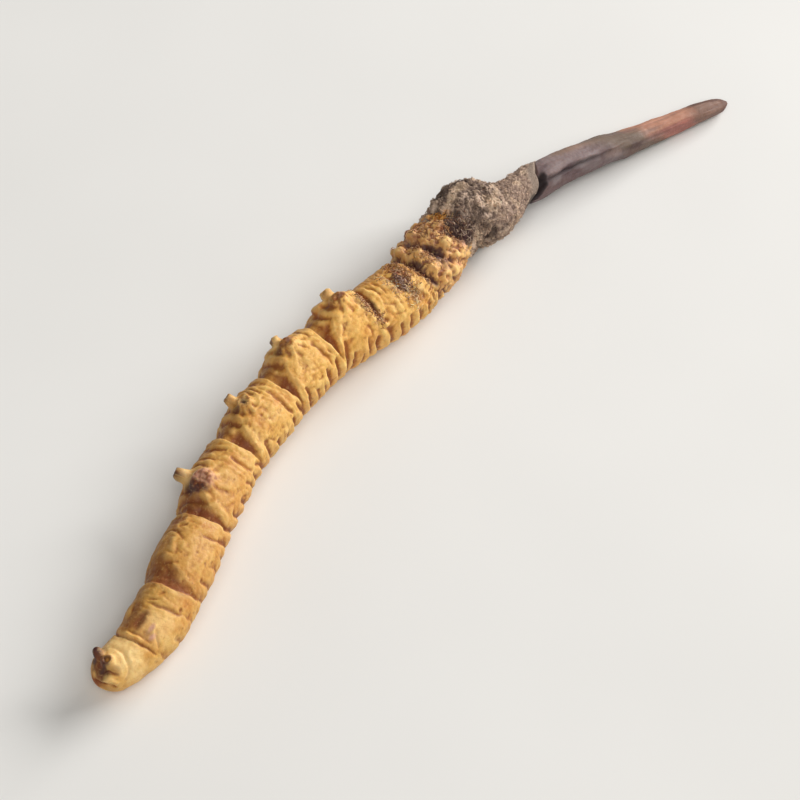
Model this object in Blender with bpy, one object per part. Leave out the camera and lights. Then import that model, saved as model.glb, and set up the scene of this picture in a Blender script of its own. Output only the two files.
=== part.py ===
"""A dried cordyceps lying on a table: the husk of a larva, a felted crust over its head, and the fungus stalk.

Metres, +Z up. +X runs from the larva's tail to the stalk's tip. The origin is on the table, under the
middle of the object. A place on the object is given by two numbers: how far it is along the middle line from the
tail, in millimetres, and its angle round that line, in degrees from straight up towards +Y.
"""

import math

import bmesh
import bpy
from mathutils import Vector

MM = 0.001

# The middle line from the tail to the stalk's tip: x, y and height, mm
MIDDLE_LINE = (
    (-35.7, -4.0, 1.7),
    (-32.7, -4.3, 1.7),
    (-29.8, -4.0, 1.9),
    (-26.0, -2.6, 2.1),
    (-22.3, -1.1, 2.1),
    (-18.6, 0.5, 2.15),
    (-14.8, 1.6, 2.2),
    (-10.9, 2.4, 2.2),
    (-6.9, 2.85, 2.3),
    (-2.9, 2.7, 2.4),
    (1.1, 2.1, 2.4),
    (5.1, 2.3, 2.35),
    (8.9, 3.1, 2.4),
    (11.4, 3.2, 2.5),
    (13.7, 2.2, 2.5),
    (16.6, 1.6, 2.2),
    (20.6, 1.1, 1.9),
    (24.4, 0.0, 1.6),
    (28.2, -1.2, 1.2),
    (32.0, -2.4, 0.8),
    (35.7, -3.6, 0.35),
)

# Where one piece ends and the next begins, along the middle line
JOINT_GAP = 0.3
LARVA_END = 45.3
CRUST_END = 56.3
CRUST_START = LARVA_END + JOINT_GAP
STALK_START = CRUST_END + JOINT_GAP
STALK_END = 73.6

# The belly faces up and towards +Y, because the larva lies rolled on its back
BELLY_ANGLE = 34.0

# Radius of the larva's skin at the crests of its rings: place along the middle line, radius
LARVA_RADII = (
    (0.0, 0.9),
    (1.0, 1.45),
    (3.0, 1.7),
    (5.0, 2.0),
    (7.0, 2.1),
    (10.0, 2.25),
    (14.0, 2.15),
    (18.0, 2.3),
    (22.0, 2.25),
    (28.0, 2.4),
    (34.0, 2.55),
    (38.0, 2.5),
    (42.0, 2.4),
    (45.3, 2.4),
)

# A deep fold between two segments: place along the middle line, depth on the belly, depth on the back
DEEP_FOLDS = (
    (3.4, 0.25, 0.25),
    (7.9, 0.45, 0.3),
    (13.8, 0.55, 0.3),
    (20.3, 0.6, 0.3),
    (26.3, 0.6, 0.3),
    (31.5, 0.6, 0.3),
    (35.7, 0.35, 0.3),
    (38.2, 0.25, 0.25),
    (40.6, 0.55, 0.3),
    (42.7, 0.7, 0.3),
)

# A shallow fold inside a segment
SHALLOW_FOLDS = (
    (2.0, 0.08, 0.15),
    (4.9, 0.04, 0.2),
    (6.3, 0.18, 0.2),
    (9.3, 0.0, 0.2),
    (10.7, 0.0, 0.2),
    (12.2, 0.2, 0.2),
    (15.4, 0.0, 0.2),
    (17.0, 0.0, 0.2),
    (18.8, 0.15, 0.2),
    (21.8, 0.0, 0.2),
    (23.3, 0.0, 0.2),
    (24.9, 0.2, 0.2),
    (27.7, 0.0, 0.2),
    (29.0, 0.0, 0.2),
    (30.2, 0.2, 0.2),
    (32.8, 0.0, 0.2),
    (34.3, 0.0, 0.2),
    (36.9, 0.1, 0.2),
    (39.4, 0.1, 0.2),
    (43.9, 0.1, 0.2),
)

# The belly stands up in a hump under each pair of prolegs: place of the legs, height of the hump
HUMPS = ((16.2, 0.3), (23.1, 0.35), (28.8, 0.4), (33.9, 0.4))
HUMP_REACH_BEHIND = 1.5
HUMP_REACH_AHEAD = 0.8
HUMP_HALF_ANGLE = 55.0

# Prolegs stand in pairs, one each side of the belly's middle
PROLEG_HALF_ANGLE = 23.0
PROLEG_FOOT_RADIUS = 0.6
PROLEG_TIP_RADIUS = 0.36
PROLEG_HEIGHT = 0.75

# The claspers at the tail: place, angle from the belly's middle, radius and height
CLASPERS = ((1.0, -38.0, 0.45, 0.35), (0.9, 22.0, 0.45, 0.4))

# Waxy knobs where the true legs were: place, angle, radius, how far the centre stands proud of the skin
KNOBS = (
    (41.5, 36.0, 0.62, 0.0),
    (41.5, 8.0, 0.6, -0.05),
    (41.4, -34.0, 0.72, -0.15),
    (41.6, -66.0, 0.75, -0.25),
    (43.8, 42.0, 0.6, 0.0),
    (43.9, 12.0, 0.6, -0.05),
    (43.6, -27.0, 0.75, -0.1),
    (43.9, -68.0, 0.7, -0.2),
)

# The crust: place, radius up, radius towards +Y, radius down, radius towards -Y
CRUST_SECTIONS = (
    (45.6, 2.35, 2.35, 2.3, 2.3),
    (46.6, 2.45, 2.5, 2.35, 2.35),
    (47.6, 2.6, 2.75, 2.45, 2.4),
    (48.8, 2.75, 2.95, 2.55, 2.4),
    (49.8, 2.6, 2.75, 2.55, 2.45),
    (50.8, 2.2, 2.2, 2.4, 2.4),
    (51.8, 1.75, 1.7, 1.95, 2.1),
    (53.0, 1.55, 1.5, 1.5, 1.7),
    (54.5, 1.5, 1.45, 1.3, 1.4),
    (56.3, 1.45, 1.45, 1.2, 1.2),
)

CRUST_LUMP_HEIGHT = 0.12
CRUST_LUMPS_AROUND = 5
CRUST_LUMPS_ALONG = 3.0

# The stalk: place, half width, half height
STALK_SECTIONS = (
    (56.6, 1.3, 1.3),
    (58.5, 1.2, 1.15),
    (61.0, 1.1, 1.0),
    (63.5, 1.08, 0.95),
    (66.0, 0.98, 0.85),
    (68.5, 0.86, 0.75),
    (70.5, 0.76, 0.68),
    (72.2, 0.6, 0.55),
    (73.2, 0.38, 0.38),
    (73.6, 0.16, 0.18),
)
STALK_RIDGES = 5
STALK_RIDGE_DEPTH = 0.06

LARVA_SIDES = 28
CRUST_SIDES = 24
STALK_SIDES = 20
LEG_SIDES = 10
ROUTE_STEPS = 24

OCHRE = (0.62, 0.36, 0.12, 1.0)
DARK_FELT = (0.11, 0.075, 0.055, 1.0)
STALK_BROWN = (0.16, 0.095, 0.075, 1.0)


def clear_scene():
    for old in list(bpy.data.objects):
        bpy.data.objects.remove(old, do_unlink=True)


def catmull_rom(before, start, end, after, t):
    """A point of the smooth curve from start to end, in Vectors or numbers."""
    return 0.5 * (
        2 * start
        + (end - before) * t
        + (2 * before - 5 * start + 4 * end - after) * t * t
        + (3 * start - before - 3 * end + after) * t**3
    )


class Route:
    """The middle line as a smooth curve that can be asked for a place by its length from the tail."""

    def __init__(self, points):
        knots = [Vector(p) for p in points]
        knots = [2 * knots[0] - knots[1], *knots, 2 * knots[-1] - knots[-2]]
        self.points = []
        for four in zip(knots, knots[1:], knots[2:], knots[3:]):
            self.points += [catmull_rom(*four, k / ROUTE_STEPS) for k in range(ROUTE_STEPS)]
        self.points.append(knots[-2])
        self.lengths = [0.0]
        for a, b in zip(self.points, self.points[1:]):
            self.lengths.append(self.lengths[-1] + (b - a).length)

    def at(self, place):
        place = min(max(place, 0.0), self.lengths[-1])
        i = max(k for k, length in enumerate(self.lengths[:-1]) if length <= place)
        span = self.lengths[i + 1] - self.lengths[i]
        return self.points[i].lerp(self.points[i + 1], (place - self.lengths[i]) / span)

    def frame(self, place):
        """The point there, the direction along the line, the upward and the +Y-ward direction across it."""
        reach = 0.4
        along = (self.at(place + reach) - self.at(place - reach)).normalized()
        side = Vector((0, 0, 1)).cross(along).normalized()
        return self.at(place), along, along.cross(side), side

    def across(self, place, degrees):
        """The unit direction out of the line at that angle."""
        _, _, up, side = self.frame(place)
        angle = math.radians(degrees)
        return up * math.cos(angle) + side * math.sin(angle)


ROUTE = Route(MIDDLE_LINE)


def between(table, place, column=1):
    """The value of a table of rows (place, value, ...) at a place, read along a smooth curve."""
    rows = [table[0], *table, table[-1]]
    for i in range(1, len(rows) - 2):
        start, end = rows[i][0], rows[i + 1][0]
        if place <= end or i == len(rows) - 3:
            t = min(max((place - start) / (end - start), 0.0), 1.0)
            return catmull_rom(*(row[column] for row in rows[i - 1 : i + 3]), t)


def belly_share(degrees):
    """1 along the middle of the belly, falling to 0 on the back."""
    return 0.5 + 0.5 * math.cos(math.radians(degrees - BELLY_ANGLE))


def hump_height(place, degrees):
    off = abs((degrees - BELLY_ANGLE + 180) % 360 - 180) / HUMP_HALF_ANGLE
    around = math.exp(-(off**2))
    height = 0.0
    for leg_place, top in HUMPS:
        reach = HUMP_REACH_BEHIND if place < leg_place else HUMP_REACH_AHEAD
        height += top * math.exp(-(((place - leg_place) / reach) ** 2))
    return height * around


def larva_radius(place, degrees):
    """Radius of the larva's skin, before legs and knobs are added."""
    radius = between(LARVA_RADII, place) + hump_height(place, degrees)
    for folds, width in ((DEEP_FOLDS, 0.4), (SHALLOW_FOLDS, 0.25)):
        for fold_place, on_belly, on_back in folds:
            share = belly_share(degrees)
            depth = on_belly * share + on_back * (1 - share)
            radius -= depth * math.exp(-(((place - fold_place) / width) ** 2))
    return radius


def crust_radius(place, degrees):
    """Radius of the crust, blended between its four measured sides, with soft lumps."""
    turn = math.radians(degrees)
    up, side = math.cos(turn), math.sin(turn)
    vertical = between(CRUST_SECTIONS, place, 1 if up > 0 else 3)
    sideways = between(CRUST_SECTIONS, place, 2 if side > 0 else 4)
    lumps = math.sin(CRUST_LUMPS_AROUND * turn + place) * math.sin(CRUST_LUMPS_ALONG * place - 2 * turn)
    return vertical * up * up + sideways * side * side + CRUST_LUMP_HEIGHT * lumps


def stalk_radius(place, degrees):
    """Radius of the stalk: an oval with soft ridges along it, as dried stalks have."""
    wide, high = (between(STALK_SECTIONS, place, column) for column in (1, 2))
    up, side = math.cos(math.radians(degrees)), math.sin(math.radians(degrees))
    oval = wide * high / math.hypot(wide * up, high * side)
    return oval * (1 - STALK_RIDGE_DEPTH * math.cos(math.radians(STALK_RIDGES * degrees)))


def lofted(name, places, sides, radius_at):
    """A closed tube round the middle line, with its ends capped and its underside flat where it meets the table."""
    shape = bmesh.new()
    rings = []
    for place in places:
        middle = ROUTE.at(place)
        ring = []
        for k in range(sides):
            degrees = 360.0 * k / sides
            point = middle + ROUTE.across(place, degrees) * radius_at(place, degrees)
            point.z = max(point.z, 0.0)
            ring.append(shape.verts.new(point * MM))
        rings.append(ring)
    for ring, following in zip(rings, rings[1:]):
        for k in range(sides):
            j = (k + 1) % sides
            shape.faces.new((ring[k], ring[j], following[j], following[k]))
    shape.faces.new(rings[0][::-1])
    shape.faces.new(rings[-1])
    return finished(name, shape)


def finished(name, shape):
    """Turns a bmesh into an object in the scene, with its faces pointing out."""
    bmesh.ops.recalc_face_normals(shape, faces=shape.faces)
    mesh = bpy.data.meshes.new(name)
    shape.to_mesh(mesh)
    shape.free()
    mesh.shade_smooth()
    mesh.set_sharp_from_angle(angle=math.radians(60))
    made = bpy.data.objects.new(name, mesh)
    bpy.context.scene.collection.objects.link(made)
    return made


def ring_places():
    """A ring at each fold, two on the crest between folds, and more where the tail rounds off."""
    folds = sorted(row[0] for row in DEEP_FOLDS + SHALLOW_FOLDS)
    stops = [0.0, *folds, LARVA_END]
    places = [0.12, 0.35, LARVA_END]
    for start, end in zip(stops, stops[1:]):
        places += [start, start + 0.35 * (end - start), start + 0.65 * (end - start)]
    return sorted(places)


def tail_rounding(place, degrees):
    """The larva's radius, drawn in to a blunt round end at the tail."""
    round_end = 1.3
    radius = larva_radius(place, degrees)
    if place < round_end:
        radius *= math.sqrt(1 - (1 - (place + 0.06) / (round_end + 0.06)) ** 2)
    return radius


def cone_on_skin(shape, place, degrees, foot, tip, height, sunk=0.45):
    """Adds a blunt cone that stands on the skin, with its foot sunk below it."""
    out = ROUTE.across(place, degrees)
    skin = larva_radius(place, degrees)
    length = height + sunk
    turn = out.to_track_quat("Z", "Y").to_matrix().to_4x4()
    turn.translation = (ROUTE.at(place) + out * (skin + height - length / 2)) * MM
    bmesh.ops.create_cone(
        shape,
        cap_ends=True,
        segments=LEG_SIDES,
        radius1=foot * MM,
        radius2=tip * MM,
        depth=length * MM,
        matrix=turn,
    )


def ball_on_skin(shape, place, degrees, radius, proud):
    """Adds a ball whose centre is that far outside the skin."""
    out = ROUTE.across(place, degrees)
    centre = ROUTE.at(place) + out * (larva_radius(place, degrees) + proud)
    turn = out.to_track_quat("Z", "Y").to_matrix().to_4x4()
    turn.translation = centre * MM
    bmesh.ops.create_icosphere(shape, subdivisions=2, radius=radius * MM, matrix=turn)


def join_to(body, name, build):
    """Unions the shapes that build adds to a bmesh with the body, by a Boolean on the body."""
    shape = bmesh.new()
    build(shape)
    tool = finished(name, shape)
    tool.hide_render = True
    tool.display_type = "WIRE"
    union = body.modifiers.new(name, "BOOLEAN")
    union.operation = "UNION"
    union.solver = "EXACT"
    union.object = tool


def build_near_legs(shape):
    for place, _ in HUMPS:
        angle = BELLY_ANGLE - PROLEG_HALF_ANGLE
        cone_on_skin(shape, place, angle, PROLEG_FOOT_RADIUS, PROLEG_TIP_RADIUS, PROLEG_HEIGHT)


def build_far_legs(shape):
    for place, _ in HUMPS:
        angle = BELLY_ANGLE + PROLEG_HALF_ANGLE
        cone_on_skin(shape, place, angle, PROLEG_FOOT_RADIUS, PROLEG_TIP_RADIUS, PROLEG_HEIGHT)


def build_claspers(shape):
    for place, angle, radius, height in CLASPERS:
        cone_on_skin(shape, place, BELLY_ANGLE + angle, radius, 0.6 * radius, height)


def build_even_knobs(shape):
    for row in KNOBS[::2]:
        ball_on_skin(shape, *row)


def build_odd_knobs(shape):
    for row in KNOBS[1::2]:
        ball_on_skin(shape, *row)


def build_larva():
    larva = lofted("larva", ring_places(), LARVA_SIDES, tail_rounding)
    join_to(larva, "near_prolegs_tool", build_near_legs)
    join_to(larva, "far_prolegs_tool", build_far_legs)
    join_to(larva, "claspers_tool", build_claspers)
    join_to(larva, "even_knobs_tool", build_even_knobs)
    join_to(larva, "odd_knobs_tool", build_odd_knobs)
    return larva


def evenly(start, end, count):
    return [start + (end - start) * k / (count - 1) for k in range(count)]


def build_crust():
    return lofted("head_crust", evenly(CRUST_START, CRUST_END, 28), CRUST_SIDES, crust_radius)


def build_stalk():
    places = evenly(STALK_START, STALK_END - 1.0, 24) + evenly(STALK_END - 0.75, STALK_END, 4)
    return lofted("stroma_stalk", places, STALK_SIDES, stalk_radius)


def paint(made, name, colour, roughness):
    material = bpy.data.materials.new(name)
    material.use_nodes = True
    shader = material.node_tree.nodes["Principled BSDF"]
    shader.inputs["Base Color"].default_value = colour
    shader.inputs["Roughness"].default_value = roughness
    shader.inputs["Metallic"].default_value = 0.0
    made.data.materials.append(material)


def main():
    clear_scene()
    paint(build_larva(), "larva_skin", OCHRE, 0.65)
    paint(build_crust(), "felted_crust", DARK_FELT, 0.95)
    paint(build_stalk(), "stalk_skin", STALK_BROWN, 0.55)


main()
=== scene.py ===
"""The looks of a dried cordyceps: the larva's wrinkled husk, the felted crust over its head, and the fungus stalk.

A place on the object is given by two numbers: how far it is along the middle line from the tail, in millimetres,
and its angle round that line, in degrees from straight up towards +Y.
"""

import itertools
import math

import bpy
import numpy as np
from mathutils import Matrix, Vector


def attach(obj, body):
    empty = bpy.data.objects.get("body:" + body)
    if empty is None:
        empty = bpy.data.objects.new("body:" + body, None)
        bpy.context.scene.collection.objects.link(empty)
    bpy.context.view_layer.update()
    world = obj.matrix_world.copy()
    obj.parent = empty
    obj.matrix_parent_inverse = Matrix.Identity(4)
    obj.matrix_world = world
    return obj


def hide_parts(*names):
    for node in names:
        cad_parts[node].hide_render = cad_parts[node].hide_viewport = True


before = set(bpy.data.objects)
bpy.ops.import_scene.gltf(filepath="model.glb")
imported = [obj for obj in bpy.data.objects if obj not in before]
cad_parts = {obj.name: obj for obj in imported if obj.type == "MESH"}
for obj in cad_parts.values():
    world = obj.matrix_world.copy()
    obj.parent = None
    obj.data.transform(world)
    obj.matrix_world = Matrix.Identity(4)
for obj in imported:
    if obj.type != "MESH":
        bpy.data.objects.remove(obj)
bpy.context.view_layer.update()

MM = 0.001

# The middle line from the tail to the stalk's tip, as in the CAD part: x, y and height, mm
MIDDLE_LINE = (
    (-35.7, -4.0, 1.7),
    (-32.7, -4.3, 1.7),
    (-29.8, -4.0, 1.9),
    (-26.0, -2.6, 2.1),
    (-22.3, -1.1, 2.1),
    (-18.6, 0.5, 2.15),
    (-14.8, 1.6, 2.2),
    (-10.9, 2.4, 2.2),
    (-6.9, 2.85, 2.3),
    (-2.9, 2.7, 2.4),
    (1.1, 2.1, 2.4),
    (5.1, 2.3, 2.35),
    (8.9, 3.1, 2.4),
    (11.4, 3.2, 2.5),
    (13.7, 2.2, 2.5),
    (16.6, 1.6, 2.2),
    (20.6, 1.1, 1.9),
    (24.4, 0.0, 1.6),
    (28.2, -1.2, 1.2),
    (32.0, -2.4, 0.8),
    (35.7, -3.6, 0.35),
)
ROUTE_STEPS = 60

# The belly faces up and towards +Y, because the larva lies rolled on its back
BELLY_ANGLE = 34.0

# Radius of the larva at the crests of its rings: place, radius, mm
LARVA_RADII = (
    (0.0, 1.25),
    (1.0, 1.45),
    (2.0, 1.62),
    (3.0, 1.72),
    (4.0, 1.86),
    (6.0, 2.08),
    (8.0, 2.12),
    (10.0, 2.22),
    (12.0, 2.18),
    (14.0, 2.08),
    (16.0, 2.16),
    (18.0, 2.24),
    (20.0, 2.14),
    (22.0, 2.16),
    (24.0, 2.28),
    (26.0, 2.24),
    (28.0, 2.36),
    (30.0, 2.38),
    (32.0, 2.42),
    (34.0, 2.54),
    (36.0, 2.48),
    (38.0, 2.5),
    (40.0, 2.44),
    (42.0, 2.42),
    (44.0, 2.46),
    (46.0, 2.26),
    (47.0, 1.8),
)
TAIL_ROUNDING = 1.3
LARVA_LENGTH = 46.6

# A hollow lies on the tail's side of each hump: where its lip is, how deep it is, how long it is
HOLLOWS = (
    (7.9, 0.3, 1.0),
    (13.8, 0.46, 0.85),
    (20.35, 0.52, 0.95),
    (26.25, 0.52, 0.85),
    (31.45, 0.5, 0.8),
)

# The hollow's outline: angle from the belly's middle, its lip and its far edge from its place, mm, and its share of depth
HOLLOW_OUTLINE = (
    (0, 0.16, 2.3, 0.45),
    (24, 0.08, 2.0, 0.74),
    (34, 0.03, 1.6, 1.0),
    (49, 0.0, 1.12, 1.0),
    (64, 0.06, 0.9, 0.9),
    (79, 0.14, 0.7, 0.7),
    (94, 0.24, 0.5, 0.4),
    (109, 0.3, 0.42, 0.1),
    (120, 0.3, 0.4, 0.0),
)

# A hump stands under each pair of prolegs and a low one before them: place of its crest, height
HUMPS = ((10.9, 0.16), (16.6, 0.26), (23.4, 0.3), (29.0, 0.34), (34.1, 0.36))

# Valleys of the flank and back, steep on the tail's side: depth, half width on the head's side, then places and angles.
# Each has a fellow on the far flank.
FLANK_VALLEYS = (
    (0.06, 0.3, (3.9, -52), (4.15, -75), (4.3, -110)),
    (0.05, 0.3, (5.3, -70), (5.5, -95), (5.6, -130)),
    (0.07, 0.32, (6.6, -58), (6.9, -85), (7.0, -120)),
    (0.1, 0.4, (8.1, -50), (8.35, -75), (8.6, -110)),
    (0.1, 0.4, (9.2, -56), (9.55, -80), (9.7, -115)),
    (0.1, 0.4, (10.6, -58), (10.95, -80), (11.0, -115)),
    (0.12, 0.3, (12.0, -75), (12.2, -100), (12.3, -130)),
    (0.2, 0.34, (12.6, -58), (13.0, -80), (13.2, -110)),
    (0.24, 0.4, (13.75, -58), (14.3, -82), (14.6, -112)),
    (0.24, 0.4, (15.2, -62), (15.5, -85), (15.9, -112)),
    (0.22, 0.4, (16.5, -70), (16.9, -88), (17.2, -115)),
    (0.2, 0.34, (18.1, -60), (18.5, -80), (18.7, -115)),
    (0.24, 0.34, (19.2, -68), (19.4, -90), (19.5, -120)),
    (0.24, 0.4, (19.9, -60), (20.3, -80), (20.6, -112)),
    (0.24, 0.4, (21.65, -52), (21.7, -80), (21.8, -115)),
    (0.24, 0.4, (22.8, -76), (23.0, -92), (23.2, -120)),
    (0.18, 0.3, (23.9, -84), (24.1, -100), (24.2, -130)),
    (0.26, 0.36, (24.95, -70), (25.15, -88), (25.3, -118)),
    (0.26, 0.4, (25.95, -55), (26.2, -80), (26.5, -112)),
    (0.28, 0.5, (27.35, -48), (27.35, -75), (27.4, -112)),
    (0.2, 0.34, (28.2, -72), (28.4, -90), (28.5, -120)),
    (0.16, 0.3, (29.1, -80), (29.2, -100), (29.3, -130)),
    (0.28, 0.42, (29.85, -54), (29.8, -78), (29.9, -112)),
    (0.3, 0.45, (31.15, -50), (30.9, -72), (30.9, -112)),
    (0.3, 0.55, (32.4, -38), (32.0, -66), (31.9, -112)),
    (0.24, 0.5, (32.85, -68), (32.6, -88), (32.6, -118)),
    (0.16, 0.3, (33.6, -84), (33.5, -100), (33.5, -130)),
    (0.28, 0.45, (34.45, -58), (34.2, -82), (34.2, -115)),
    (0.28, 0.4, (35.35, -68), (35.1, -88), (35.2, -118)),
    (0.24, 0.4, (36.15, -62), (36.4, -82), (36.5, -115)),
    (0.24, 0.34, (37.2, -72), (37.35, -92), (37.4, -120)),
    (0.26, 0.36, (38.05, -68), (38.1, -88), (38.2, -116)),
    (0.24, 0.32, (38.9, -72), (39.0, -92), (39.1, -120)),
    (0.22, 0.3, (39.65, -74), (39.9, -94), (40.0, -120)),
    (0.26, 0.32, (40.6, -64), (40.95, -84), (41.1, -116)),
    (0.22, 0.26, (41.3, -76), (41.7, -94), (41.9, -120)),
    (0.3, 0.34, (42.6, -80), (43.0, -96), (43.1, -120)),
    (0.24, 0.3, (43.6, -78), (44.0, -94), (44.2, -120)),
    (0.26, 0.3, (44.8, -76), (45.1, -94), (45.2, -120)),
)

FLANK_STRENGTH = 1.25

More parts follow.
